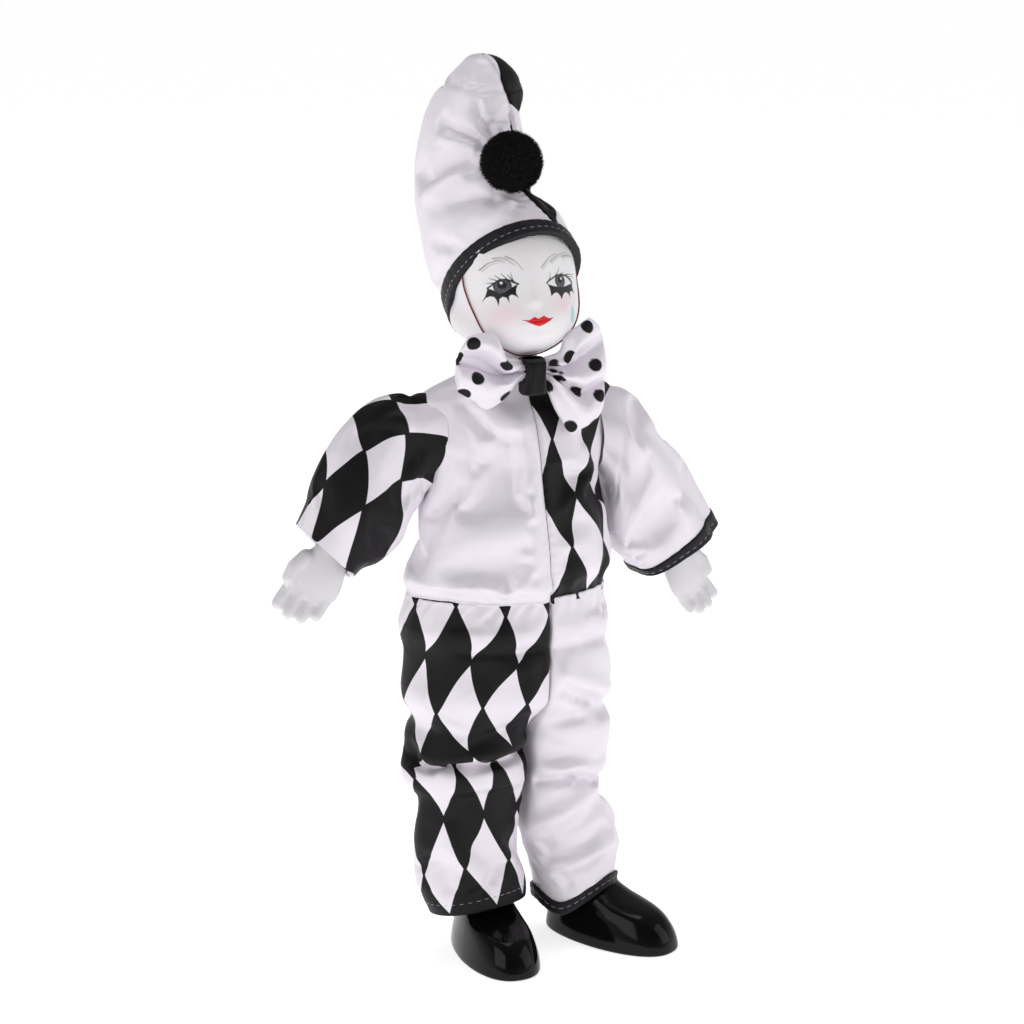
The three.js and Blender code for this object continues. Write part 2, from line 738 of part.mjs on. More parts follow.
// Chin elastic: a thin dark red cord from the brim on one side, under the chin, to the other.
// It lies on the skin of the head: degrees are measured from straight down, towards the left.
const elasticSpots = [];
for (let degrees = -78; degrees <= 78; degrees += 12) {
  const down = new THREE.Vector3(Math.sin(degrees * DEGREE), 0.02, -Math.cos(degrees * DEGREE));
  const spot = headPoint(down.normalize(), ELASTIC_ACROSS / 2 + 0.25);
  elasticSpots.push(spot.applyEuler(headTilt).add(HEAD_CENTRE));
}
const elasticRoute = new THREE.CatmullRomCurve3(elasticSpots);
const elasticSection = new THREE.Shape().absarc(0, 0, ELASTIC_ACROSS / 2, 0, FULL_TURN);
const elastic = solid(
  new THREE.ExtrudeGeometry(elasticSection, {
    steps: 16,
    curveSegments: 3,
    extrudePath: elasticRoute,
    bevelEnabled: false,
  }),
);

// Bow: two spotted satin loops gathered by a black knot, sewn to the collar. Rows: share of the
// wing's length, centre x y z, half height, half depth.
const KNOT_CENTRE = new THREE.Vector3(0.5, -19.5, 250);
const KNOT_HALF = new THREE.Vector3(5, 4.5, 7.5);
const rightWing = through([
  [0, -4, -19.5, 250.5, 5, 2.6],
  [0.25, -10, -20, 251.5, 9, 4.6],
  [0.5, -17, -20, 252.5, 12, 5.6],
  [0.8, -25.5, -19.5, 253, 13.8, 5],
  [1, -30.5, -19, 253.5, 13, 2.2],
]);
const leftWing = through([
  [0, 5, -19.5, 250, 5.4, 2.6],
  [0.25, 11, -21, 249.5, 10.5, 4.6],
  [0.5, 18, -22, 249, 16, 5.4],
  [0.8, 25.5, -22, 249.5, 20, 5],
  [1, 30, -21, 250.5, 19, 2.2],
]);

function wing(section) {
  return loft(
    (share, turn) => {
      const [x, y, z, halfTall, halfDeep] = section(share);
      const pleat = 1.5 * (1 - share) * Math.cos(5 * turn);
      return new THREE.Vector3(
        x,
        y - (halfDeep + pleat) * Math.cos(turn),
        z + (halfTall + pleat) * Math.sin(turn),
      );
    },
    5,
    15,
  );
}

const knot = loft(
  (share, turn) => {
    const height = THREE.MathUtils.lerp(-1, 1, share);
    const full = 1 - 0.12 * height * height;
    return new THREE.Vector3(
      KNOT_CENTRE.x + KNOT_HALF.x * full * Math.cos(turn),
      KNOT_CENTRE.y + KNOT_HALF.y * full * Math.sin(turn),
      KNOT_CENTRE.z + KNOT_HALF.z * height,
    );
  },
  2,
  12,
);
const knotRoom = boxSolid(
  new THREE.Vector3(KNOT_CENTRE.x - KNOT_HALF.x - GAP, -FAR, 200),
  new THREE.Vector3(KNOT_CENTRE.x + KNOT_HALF.x + GAP, FAR, 300),
);
const wingRight = wing(rightWing).subtract(knotRoom).subtract(headCut);
const wingLeft = wing(leftWing).subtract(knotRoom).subtract(headCut);

// The finished pieces
const doll = new THREE.Group();
doll.name = "clown_doll";

function piece(name, manifold, material) {
  const mesh = new THREE.Mesh(geometryOf(manifold), material.clone());
  mesh.name = name;
  mesh.geometry.computeVertexNormals();
  doll.add(mesh);
}

piece("shoe_right", shoeRight, materials.glaze);
piece("shoe_left", shoeLeft, materials.glaze);
piece("trousers_right_leg", trousersRight, materials.print);
piece("trousers_left_leg", trousersLeft, materials.satin);
piece("trousers_left_binding", trousersBinding, materials.binding);
piece("tunic_white_half", tunicRight, materials.satin);
piece("tunic_diamond_half", tunicLeft, materials.print);
piece("sleeve_right", sleeveRight, materials.print);
piece("sleeve_left", sleeveLeft, materials.satin);
piece("sleeve_left_binding", sleeveBinding, materials.binding);
piece("hand_right", handRight, materials.bisque);
piece("hand_left", handLeft, materials.bisque);
piece("head", headSolid, materials.bisque);
piece("hat_white_half", hatRight, materials.satin);
piece("hat_diamond_half", hatLeft, materials.print);
piece("hat_binding", hatBinding, materials.binding);
piece("pompom", pompom, materials.pompom);
piece("chin_elastic", elastic, materials.elastic);
piece("bow_right_wing", wingRight, materials.satin);
piece("bow_left_wing", wingLeft, materials.satin);
piece("bow_knot", knot, materials.binding);

// The origin is under the middle of the doll's box, on the ground.
const reach = new THREE.Box3().setFromObject(doll);
const middle = reach.getCenter(new THREE.Vector3());
doll.position.set(-middle.x, -middle.y, -reach.min.z);

export default doll;
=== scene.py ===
"""A standing clown doll in a halved satin suit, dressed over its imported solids."""
import math

import bpy
import numpy as np
from mathutils import Matrix, Vector


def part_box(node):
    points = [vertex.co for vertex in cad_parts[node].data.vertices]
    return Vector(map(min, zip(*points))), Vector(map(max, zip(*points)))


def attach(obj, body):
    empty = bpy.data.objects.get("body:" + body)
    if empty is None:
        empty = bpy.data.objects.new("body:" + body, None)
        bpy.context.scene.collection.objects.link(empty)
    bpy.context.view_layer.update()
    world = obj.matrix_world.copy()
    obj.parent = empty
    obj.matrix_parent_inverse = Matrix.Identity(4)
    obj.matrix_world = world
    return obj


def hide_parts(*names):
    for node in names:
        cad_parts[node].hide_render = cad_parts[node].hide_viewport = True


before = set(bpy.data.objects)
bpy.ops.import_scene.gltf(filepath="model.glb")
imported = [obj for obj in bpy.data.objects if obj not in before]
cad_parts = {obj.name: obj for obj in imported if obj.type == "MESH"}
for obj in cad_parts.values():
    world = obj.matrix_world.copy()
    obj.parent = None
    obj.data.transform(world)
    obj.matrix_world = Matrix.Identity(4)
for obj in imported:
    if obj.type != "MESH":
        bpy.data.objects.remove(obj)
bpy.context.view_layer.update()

# The frame: the doll is drawn in millimetres from a point on the ground under its middle, and
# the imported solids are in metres, a little off that point, as the middle of the bow's knot shows.
KNOT_CENTRE = np.array([0.5, -19.5, 250])
knot_low, knot_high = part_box("bow_knot")
SHIFT = (np.array(knot_low) + np.array(knot_high)) / 2 - KNOT_CENTRE / 1000


def on(points):
    """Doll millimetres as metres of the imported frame."""
    return np.asarray(points, float) / 1000 + SHIFT


# The camera stands 25 degrees round to the doll's right and 13 degrees up, 1.1 m away.
CAMERA_FAR = 1.1
azimuth, elevation = math.radians(-25), math.radians(13)
level = math.cos(elevation)
back = Vector((math.sin(azimuth) * level, -math.cos(azimuth) * level, math.sin(elevation)))
right = Vector((math.cos(azimuth), math.sin(azimuth), 0))
lens = bpy.data.cameras.new("photo_camera")
lens.sensor_width = 36
lens.lens = 94.3
lens.clip_start = 0.05


def linked(name, data):
    """A new object in the scene."""
    made = bpy.data.objects.new(name, data)
    bpy.context.scene.collection.objects.link(made)
    return made


camera = linked("photo_camera", lens)
turned = Matrix((right, back.cross(right), back)).transposed().to_4x4()
camera.matrix_world = Matrix.Translation(Vector(on((0, 0, 190))) + back * CAMERA_FAR) @ turned
bpy.context.scene.camera = camera


# Shoes: slip-cast porcelain under a black glaze, fired glossy. Flat soles carry the
# doll, and a short ankle goes up inside each trouser leg and is tied to the cloth leg there.
SHOE_LONG = 64
SHOE_WIDE = 30.5
SHOE_LEVELS = [
    # height, heel and toe as shares of the length, half width as a share of the width
    (0, 0.475, -0.49, 0.47), (0.5, 0.487, -0.502, 0.494), (1.3, 0.492, -0.507, 0.5),
    (3.5, 0.49, -0.503, 0.497), (7, 0.48, -0.485, 0.48), (11, 0.46, -0.445, 0.45),
    (14, 0.435, -0.395, 0.425), (16, 0.412, -0.335, 0.405), (17.8, 0.39, -0.25, 0.385),
    (19.8, 0.365, -0.14, 0.37), (23, 0.335, -0.03, 0.345), (38, 0.3, 0.03, 0.31),
]


def through(rows):
    """Smooth values through the rows of a table, whose first column is the key along it."""
    table = np.array(rows, float)
    keys, values = table[:, 0], table[:, 1:]
    slopes = np.zeros_like(values)
    steps = np.diff(values, axis=0) / np.diff(keys)[:, None]
    slopes[1:-1] = (steps[1:] + steps[:-1]) / 2

    def at(key):
        key = np.clip(np.asarray(key, float), keys[0], keys[-1])
        i = np.clip(np.searchsorted(keys, key, side="right") - 1, 0, len(keys) - 2)
        gap = (keys[i + 1] - keys[i])[..., None]
        w = (key - keys[i])[..., None] / gap
        start = (1 + 2 * w) * (1 - w) ** 2 * values[i] + w * (1 - w) ** 2 * gap * slopes[i]
        end = w**2 * (3 - 2 * w) * values[i + 1] + w**2 * (w - 1) * gap * slopes[i + 1]
        return np.moveaxis(start + end, -1, 0)

    return at


def unit(vectors):
    return vectors / np.linalg.norm(vectors, axis=-1, keepdims=True)


def smooth_step(low, high, value):
    share = np.clip((value - low) / (high - low), 0, 1)
    return share * share * (3 - 2 * share)


def mix(a, b, share):
    return a + (b - a) * share


def mesh_piece(name, points, faces, layers=None):
    """A smooth-shaded object from points in doll millimetres. Each of its layers holds the place
    of each corner of each face, in millimetres, on the flat cloth or in its print."""
    mesh = bpy.data.meshes.new(name)
    faces = np.asarray(faces)
    sides = faces.shape[1]
    mesh.vertices.add(len(points))
    mesh.vertices.foreach_set("co", on(points).astype(np.float32).ravel())
    mesh.loops.add(faces.size)
    mesh.loops.foreach_set("vertex_index", faces.astype(np.int32).ravel())
    mesh.polygons.add(len(faces))
    starts = np.arange(0, faces.size, sides, dtype=np.int32)
    mesh.polygons.foreach_set("loop_start", starts)
    mesh.polygons.foreach_set("use_smooth", np.ones(len(faces), bool))
    for layer_name, corners in (layers or {}).items():
        layer = mesh.uv_layers.new(name=layer_name)
        layer.data.foreach_set("uv", corners.astype(np.float32).ravel())
    mesh.update(calc_edges=True)
    mesh.validate()
    return linked(name, mesh)


def quads(a):
    """The four corners of each cell of a grid of values."""
    return np.stack([a[:-1, :-1], a[:-1, 1:], a[1:, 1:], a[1:, :-1]], axis=2)


def grid_piece(name, points, wrap=False, **layers):
    """A piece from a grid of points, rows by columns. With wrap the last column is the first."""
    points = points[:, :-1] if wrap else points
    rows, columns = points.shape[:2]
    place = np.arange(rows * columns).reshape(rows, columns)
    place = np.hstack([place, place[:, :1]]) if wrap else place
    faces = quads(place).reshape(-1, 4)
    corners = {key: quads(layer).reshape(-1, 2) for key, layer in layers.items()}
    return mesh_piece(name, points.reshape(-1, 3), faces, corners)


def dress(piece, slot, material, *nodes):
    """Gives a piece its material, rides it on the doll and hides the CAD nodes it stands for."""
    piece.data.materials.clear()
    piece.data.materials.append(material)
    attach(piece, "root")
    if nodes:
        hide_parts(*nodes)


def linear(code):
    """An sRGB hex colour as linear light."""
    parts = [int(code[i : i + 2], 16) / 255 for i in (1, 3, 5)]
    return *(((p + 0.055) / 1.055) ** 2.4 if p > 0.04045 else p / 12.92 for p in parts), 1.0


def new_material(name):
    made = bpy.data.materials.new(name)
    made.use_nodes = True
    made.node_tree.nodes.clear()
    return made, made.node_tree


def add(tree, kind, inputs=None, **settings):
    """Adds a node with its settings, and sets or links its inputs. A node given as an input
    stands for its first output in use."""
    node = tree.nodes.new("ShaderNode" + kind)
    for name, value in settings.items():
        setattr(node, name, value)
    for name, value in (inputs or {}).items():
        if isinstance(value, bpy.types.Node):
            value = next(socket for socket in value.outputs if socket.enabled)
        if isinstance(value, bpy.types.NodeSocket):
            tree.links.new(value, node.inputs[name])
        else:
            node.inputs[name].default_value = value
    return node


def two_toned(name, texture, pattern, tones, finish, relief=None, paints=(), **settings):
    """A material that drifts between two tones with a texture set in metres. A fine noise may
    be its relief, and paints may cover it where the mesh's masks of their names say so."""
    made, tree = new_material(name)
    spot = add(tree, "TexCoord").outputs["Object"]
    drift = add(tree, texture, {"Vector": spot, **pattern}, **settings).outputs["Fac"]
    dark, light = map(linear, tones)
    colour = add(tree, "Mix", {0: drift, 6: dark, 7: light}, data_type="RGBA")
    for mask_name, code, strength in paints:
        mask = add(tree, "Attribute", attribute_name=mask_name).outputs["Fac"]
        share = add(tree, "Math", {0: mask, 1: strength}, operation="MULTIPLY")
        colour = add(tree, "Mix", {0: share, 6: colour, 7: linear(code)}, data_type="RGBA")
    inputs = {"Base Color": colour, **finish}
    if relief:
        scale, detail, strength, distance = relief
        grain = add(tree, "TexNoise", {"Vector": spot, "Scale": scale, "Detail": detail})
        bump = {"Height": grain, "Strength": strength, "Distance": distance}
        inputs["Normal"] = add(tree, "Bump", bump)
    add(tree, "OutputMaterial", {"Surface": add(tree, "BsdfPrincipled", inputs)})
    return made


# Black glaze over porcelain: a deep black that mirrors the lights, very slightly rippled where
# the glaze ran and pooled, and a touch greyer where it is thin.
black_glaze = two_toned(
    "black_glazed_porcelain", "TexNoise", {"Scale": 60.0}, ("#060607", "#101013"),
    {"Roughness": 0.11, "IOR": 1.45, "Specular IOR Level": 0.22},
    relief=(140.0, 1.0, 0.12, 0.0004),
)
shoe_form = through(SHOE_LEVELS)


def shoe(name, place, toe_out):
    sole_edge = [0, 0.12, 0.25, 0.4, 0.6, 0.85, 1.1, 1.4, 1.8, 2.4, 3.2, 3.8]
    heights = np.array(sole_edge + list(np.arange(4.4, 14, 0.4)) + list(np.arange(14, 24, 0.2)))
    heights = np.append(heights, np.arange(24.5, 38, 1.5))
    turn = np.linspace(0, 2 * np.pi, 289)
    height, turn = np.meshgrid(heights, turn, indexing="ij")
    heel, toe, half = shoe_form(height)
    middle = (heel + toe) / 2 - 0.05 * (1 - smooth_step(20, 34, height))
    sine, cosine = np.sin(turn), np.cos(turn)
    forward = sine < 0
    reach = np.where(forward, middle - toe, heel - middle) * SHOE_LONG
    power = np.where(forward, 0.85, 0.95)
    taper = np.where(forward, 1, 1 - 0.12 * sine)
    across = half * SHOE_WIDE * taper * np.sign(cosine) * np.abs(cosine) ** power
    along = middle * SHOE_LONG + reach * np.sign(sine) * np.abs(sine) ** power
    turned_out = math.radians(toe_out)
    x = across * math.cos(turned_out) - along * math.sin(turned_out) + place[0]
    y = across * math.sin(turned_out) + along * math.cos(turned_out) + place[1]
    points = np.stack([x, y, height], axis=2)
    sole = np.broadcast_to(points[:1].mean(axis=1, keepdims=True), points[:1].shape)
    piece = grid_piece(name, np.concatenate([sole, points]), wrap=True)
    dress(piece, "glazed_porcelain", black_glaze, name.removesuffix("_glazed"))


shoe("shoe_right_glazed", (-11, -3.5), -2)
shoe("shoe_left_glazed", (42.6, -7.5), 30)


# Trousers: two legs of lightweight polyester satin, the right one printed with harlequin
# diamonds, sewn together down the front and back. Elastic gathers the waist, the right hem is
# turned up and stitched, and the left hem is gathered into a black bias binding.
WAIST_Z = 159
BINDING_WIDE = 6
BINDING_PROUD = 0.7
HIPS = [
    # height, centre x, centre y, half width, half depth
    (103, -1.5, 2, 38, 20), (109, -2, 2, 43.2, 25), (116, -2.2, 2, 45.3, 29),
    (130, -1.5, 2, 43.8, 29.5), (137, -1.8, 2, 43.6, 28.8), (147, -3, 2, 44.2, 29.5),
    (153, -2.8, 2, 43.8, 29), (WAIST_Z, -1.8, 2, 43, 28.5),
]
RIGHT_LEG = [
    (14, -14.5, 4, 20.5, 18), (18, -14.5, 4, 20.5, 18), (28, -16, 3.5, 23, 18),
    (45, -19.3, 2.5, 21.8, 17), (60, -20, 2, 22.5, 17.5), (74, -19.5, 2, 24.3, 18.5),
    (81, -20.5, 1.5, 27.3, 20.5), (86.5, -21, 1.5, 27, 21), (92, -20.6, 2, 25, 21),
    (104, -21.2, 2, 25.4, 25), (112, -21.2, 2, 24, 28), (119, -21, 2, 20.5, 26),
]
LEFT_LEG = [
    (10, 31.4, 4, 17, 15.2), (16, 31.2, 4, 17.2, 15.5), (24, 30.8, 3.8, 17.8, 16),
    (34, 30, 3.5, 19.2, 17.5), (46, 27.5, 3, 20.5, 18), (56, 24, 2.5, 20, 17.5),
    (66, 21, 2, 18.5, 16.5), (76, 20.5, 2, 18.5, 17.5), (90, 21.5, 2, 20.7, 20.5),
    (104, 21, 2, 22.2, 25), (112, 20.5, 2, 21.8, 28), (119, 20, 2, 18.5, 26),
]
# height, x of the middle between the legs
BETWEEN_LEGS = [(10, 9.5), (35, 7), (52, 4.2), (70, 4.5), (90, 4), (101, 4), (119, 5), (159, 5.3)]
# Each fold: from degrees, height, to degrees, height, width, rise. The front is at 270 degrees.
HIP_FOLDS = [
    (215, 139, 330, 137, 2.2, -1), (296, 127, 340, 113, 4.5, 2), (298, 119, 336, 106, 4, -1.6),
    (318, 141, 352, 133, 4, -1.2), (232, 130, 243, 112, 7, -1.4), (262, 132, 268, 114, 6, 1),
]
RIGHT_LEG_FOLDS = [
    (205, 89.5, 335, 90, 2.4, -3.6), (205, 95, 330, 95.5, 3.6, 2.4),
    (262, 102, 300, 105, 3, -1.6), (238, 66, 262, 50, 5, -1.6), (300, 44, 262, 34, 4, -1.4),
    (250, 80, 322, 78, 4, 1), (205, 60, 215, 36, 5, -1.2),
]
LEFT_LEG_FOLDS = [
    (222, 76, 268, 78, 2.6, -2), (268, 78, 318, 74, 2.6, -2), (222, 82, 318, 81, 4, 1.8),
    (208, 54, 300, 69, 5, 2.2), (212, 48.5, 304, 63, 4, -1.8), (218, 42, 300, 52, 4, -2),
    (222, 36, 305, 47, 4, 1.6), (230, 33, 238, 29, 3, -1.4), (252, 33, 262, 30, 3, -1),
    (330, 62, 350, 52, 3, 1.6),
]
RIGHT_HEM = (21.5, 3.5, 300)  # mean height, half its rise, degrees of its highest point
LEFT_HEM = [
    # degrees, height: it dips in front of the inner ankle and rises over the instep
    (180, 18.5), (200, 16.5), (215, 14.4), (228, 13.8), (245, 16), (267, 20.3), (295, 24),
    (320, 23.5), (360, 19.5), (400, 15.5), (450, 14.5), (500, 16.5), (540, 18.5),
]


def hump(off, wide):
    return np.exp(-((off / wide) ** 2))


def lift(folds, degrees, height, radius):
    """How far soft ridges and grooves along lines lift a cloth tube at a place."""
    per_degree = math.radians(radius)
    total = np.zeros(np.broadcast(degrees, height).shape)
    for from_turn, from_height, to_turn, to_height, width, rise in folds:
        away = ((degrees - from_turn + 180) % 360 - 180) * per_degree
        up = height - from_height
        line = ((to_turn - from_turn) * per_degree, to_height - from_height)
        share = np.clip((away * line[0] + up * line[1]) / (line[0] ** 2 + line[1] ** 2), 0, 1)
        off = np.hypot(away - share * line[0], up - share * line[1])
        total += rise * hump(off, width)
    return total


def unevenness(across, along, size, seed):
    """Smooth random height from -1 to 1 over the flat cloth, with bumps about size mm apart."""
    lattice = np.random.default_rng(seed).uniform(-1, 1, (64, 64))
    a, b = across / size, along / size
    i, j = np.floor(a).astype(int), np.floor(b).astype(int)
    p, q = smooth_step(0, 1, a - i), smooth_step(0, 1, b - j)

    def corner(k, m):
        return lattice[(i + k) % 64, (j + m) % 64]

    return mix(mix(corner(0, 0), corner(1, 0), p), mix(corner(0, 1), corner(1, 1), p), q)


def rumple(across, along, seed, size):
    """The small soft creases of handled satin: thin ridges between shallow dents, in mm."""
    bent = across + 0.6 * size * unevenness(across, along, size * 1.7, seed)
    leaned = along + 0.6 * size * unevenness(across + 40, along, size * 1.7, seed + 1)
    ridge = 1 - 2 * np.abs(unevenness(bent, leaned * 0.8, size, seed + 2))
    fine = 1 - 2 * np.abs(unevenness(bent * 1.1, leaned, size * 0.45, seed + 3))
    return 0.3 * (0.7 * ridge + 0.3 * fine)


def right_hem_height(turn):
    mean, rise, highest = RIGHT_HEM
    return mean + rise * np.cos(turn - math.radians(highest))


def left_hem_height(turn):
    (height,) = through(LEFT_HEM)((np.degrees(turn) - 180) % 360 + 180)
    return height


def soft_min(a, b, soft):
    return (a + b - np.sqrt((a - b) ** 2 + soft**2)) / 2


hips = through(HIPS)
between_legs = through(BETWEEN_LEGS)
right_leg = through(RIGHT_LEG)
left_leg = through(LEFT_LEG)


def trouser_point(side, section, folds, turn, height, proud):
    """A point of a trouser leg, seen from the middle of the leg. side is -1 for the right."""
    x, y, half_wide, half_deep = section(height)
    hip_x, hip_y, hip_wide, hip_deep = hips(height)
    degrees = np.degrees(turn)
    hip_share = smooth_step(97, 117, height)
    cosine, sine = np.cos(turn), np.sin(turn)
    leg_reach = 1 / np.sqrt((cosine / half_wide) ** 2 + (sine / half_deep) ** 2)
    off_x, off_y = x - hip_x, y - hip_y
    a = (cosine / hip_wide) ** 2 + (sine / hip_deep) ** 2
    b = off_x * cosine / hip_wide**2 + off_y * sine / hip_deep**2
    c = (off_x / hip_wide) ** 2 + (off_y / hip_deep) ** 2 - 1
    hip_reach = (-b + np.sqrt(np.maximum(b * b - a * c, 0))) / a
    hip_degrees = np.degrees(np.arctan2(off_y + hip_reach * sine, off_x + hip_reach * cosine))
    reach = mix(leg_reach, hip_reach, hip_share) + proud
    reach += (1 - hip_share) * lift(folds, degrees, height, 21)
    reach += hip_share * lift(HIP_FOLDS, hip_degrees % 360, height, 38)
    (middle,) = between_legs(height)
    towards = -side * cosine
    wall = np.where(towards > 0.02, side * (x - middle) - 0.3, 1e3) / np.maximum(towards, 0.02)
    reach = soft_min(reach, wall, 1.6)
    return np.stack([x + reach * cosine, y + reach * sine, height + 0 * reach], axis=-1)


def arc_lengths(points, axis):
    """Length along a grid of points from its first row or column."""
    step = np.linalg.norm(np.diff(points, axis=axis), axis=2)
    first = np.zeros_like(np.take(step, [0], axis=axis))
    return np.concatenate([first, np.cumsum(step, axis=axis)], axis=axis)


SATIN_ROUGH = 0.42
PRINT_ROUGH = 0.5

# White polyester satin: a smooth warp-faced weave with a milky lustre, cool in its shade. Its
# threads are 0.1 mm apart, too fine to show, so they are drawn 0.4 mm apart and very faint.
def satin(name, white, print_mask=None, ink="#0e0c0e"):
    made, tree = new_material(name)
    place = add(tree, "UVMap", uv_map="cloth")
    slub = add(tree, "Mapping", {"Vector": place, "Scale": (2.4, 0.12, 1.0)})
    fine = {"Vector": slub, "Scale": 1.0, "Detail": 3.0, "Roughness": 0.6}
    threads = add(tree, "TexNoise", fine)
    clouds = add(tree, "TexNoise", {"Vector": place, "Scale": 0.07, "Detail": 2.0})
    broad = {"Vector": place, "Scale": 0.16, "Detail": 2.0, "Roughness": 0.5}
    dents = add(tree, "TexNoise", broad)
    deeper = "#%02x%02x%02x" % tuple(int(int(white[i : i + 2], 16) * 0.965) for i in (1, 3, 5))
    tones = {0: clouds, 6: linear(white), 7: linear(deeper)}
    colour, rough = add(tree, "Mix", tones, data_type="RGBA"), SATIN_ROUGH
    if print_mask:
        mask = print_mask(tree)
        tones = {0: threads, 6: linear(ink), 7: linear("#19171a")}
        worn = add(tree, "Mix", tones, data_type="RGBA")
        colour = add(tree, "Mix", {0: mask, 6: colour, 7: worn}, data_type="RGBA")
        rough = add(tree, "Mix", {0: mask, 2: SATIN_ROUGH, 3: PRINT_ROUGH}, data_type="FLOAT")
    weave = add(tree, "Bump", {"Height": threads, "Strength": 0.1, "Distance": 0.0002})
    crumpled = {"Height": dents, "Strength": 0.15, "Distance": 0.0008, "Normal": weave}
    soft = add(tree, "Bump", crumpled)
    shader = add(tree, "BsdfPrincipled", {
        "Base Color": colour, "Roughness": rough, "IOR": 1.5, "Specular IOR Level": 0.2,
        "Metallic": 0.16, "Anisotropic": 0.4, "Normal": soft,
    })
    add(tree, "OutputMaterial", {"Surface": shader})
    return made


DIAMOND_WIDE = 19
DIAMOND_TALL = 44


def diamonds(tree):
    """Black harlequin diamonds, a little wider than the white ones, so that their tips join."""
    place = add(tree, "UVMap", uv_map="print")
    axes = add(tree, "SeparateXYZ", {0: place})
    across = add(tree, "Math", {0: axes.outputs[0], 1: 1 / DIAMOND_WIDE}, operation="MULTIPLY")
    along = add(tree, "Math", {0: axes.outputs[1], 1: 1 / DIAMOND_TALL}, operation="MULTIPLY")
    near_edges, counts = [], []
    for operation in ("ADD", "SUBTRACT"):
        slant = add(tree, "Math", {0: across, 1: along}, operation=operation)
        counts.append(add(tree, "Math", {0: slant}, operation="FLOOR"))
        rest = add(tree, "Math", {0: slant}, operation="FRACT")
        near_edges.append(add(tree, "Math", {0: rest, 1: 0.5}, operation="PINGPONG"))
    total = add(tree, "Math", {0: counts[0], 1: counts[1]}, operation="ADD")
    odd = add(tree, "Math", {0: total, 1: 2.0}, operation="FLOORED_MODULO")
    edge = add(tree, "Math", {0: near_edges[0], 1: near_edges[1]}, operation="MINIMUM")
    inner = add(tree, "MapRange", {0: edge, 1: 0.028, 2: 0.04}, clamp=True)
    white = add(tree, "Math", {0: odd, 1: inner}, operation="MULTIPLY")
    return add(tree, "Math", {0: 1.0, 1: white}, operation="SUBTRACT")


SATIN_WHITE = "#f3ecf5"
white_satin = satin("white_polyester_satin", SATIN_WHITE)
diamond_satin = satin("harlequin_printed_satin", SATIN_WHITE, diamonds)

# Black satin bias binding: cut on the diagonal, so its fine ribs run slantwise, with a dull
# lustre along its rounded edges.
black_binding, tree = new_material("black_satin_bias_binding")
place = add(tree, "UVMap", uv_map="cloth")
slanted = add(tree, "Mapping", {"Vector": place, "Rotation": (0, 0, math.radians(45))})
ribs = add(tree, "TexWave", {"Vector": slanted, "Scale": 0.32, "Distortion": 0.6, "Detail": 1.0})
worn = add(tree, "TexNoise", {"Vector": place, "Scale": 0.5, "Detail": 3.0})
tones = {0: worn, 6: linear("#131115"), 7: linear("#1f1d22")}
binding_colour = add(tree, "Mix", tones, data_type="RGBA")
ribbed = {"Height": ribs.outputs["Fac"], "Strength": 0.25, "Distance": 0.0002}
binding_bump = add(tree, "Bump", ribbed)
binding_shader = add(tree, "BsdfPrincipled", {
    "Base Color": binding_colour, "Roughness": 0.5, "IOR": 1.5, "Specular IOR Level": 0.2,
    "Sheen Weight": 0.04, "Sheen Roughness": 0.35, "Normal": binding_bump,
})
add(tree, "OutputMaterial", {"Surface": binding_shader})

# White sewing thread: two plies twisted together. The fine slanted ridges of each stitch are
# painted as dark and light stripes in its colour, a painted shade with no relief.
white_thread = two_toned(
    "white_polyester_thread", "TexWave", {"Scale": 900.0, "Distortion": 1.0},
    ("#77747b", "#a5a2a9"), {"Roughness": 0.55}, bands_direction="DIAGONAL",
)

SETTLE_MOST = 2.6  # how far a point may move, in mm
EVERY = 4  # one point in so many is simulated, along and across
SETTLE_STEPS = 30
SETTLE_SCALE = 100  # the panel is simulated ten times as large as the doll, in metres
CUT_FULL = 0.07  # how much wider the satin is cut than the form under it


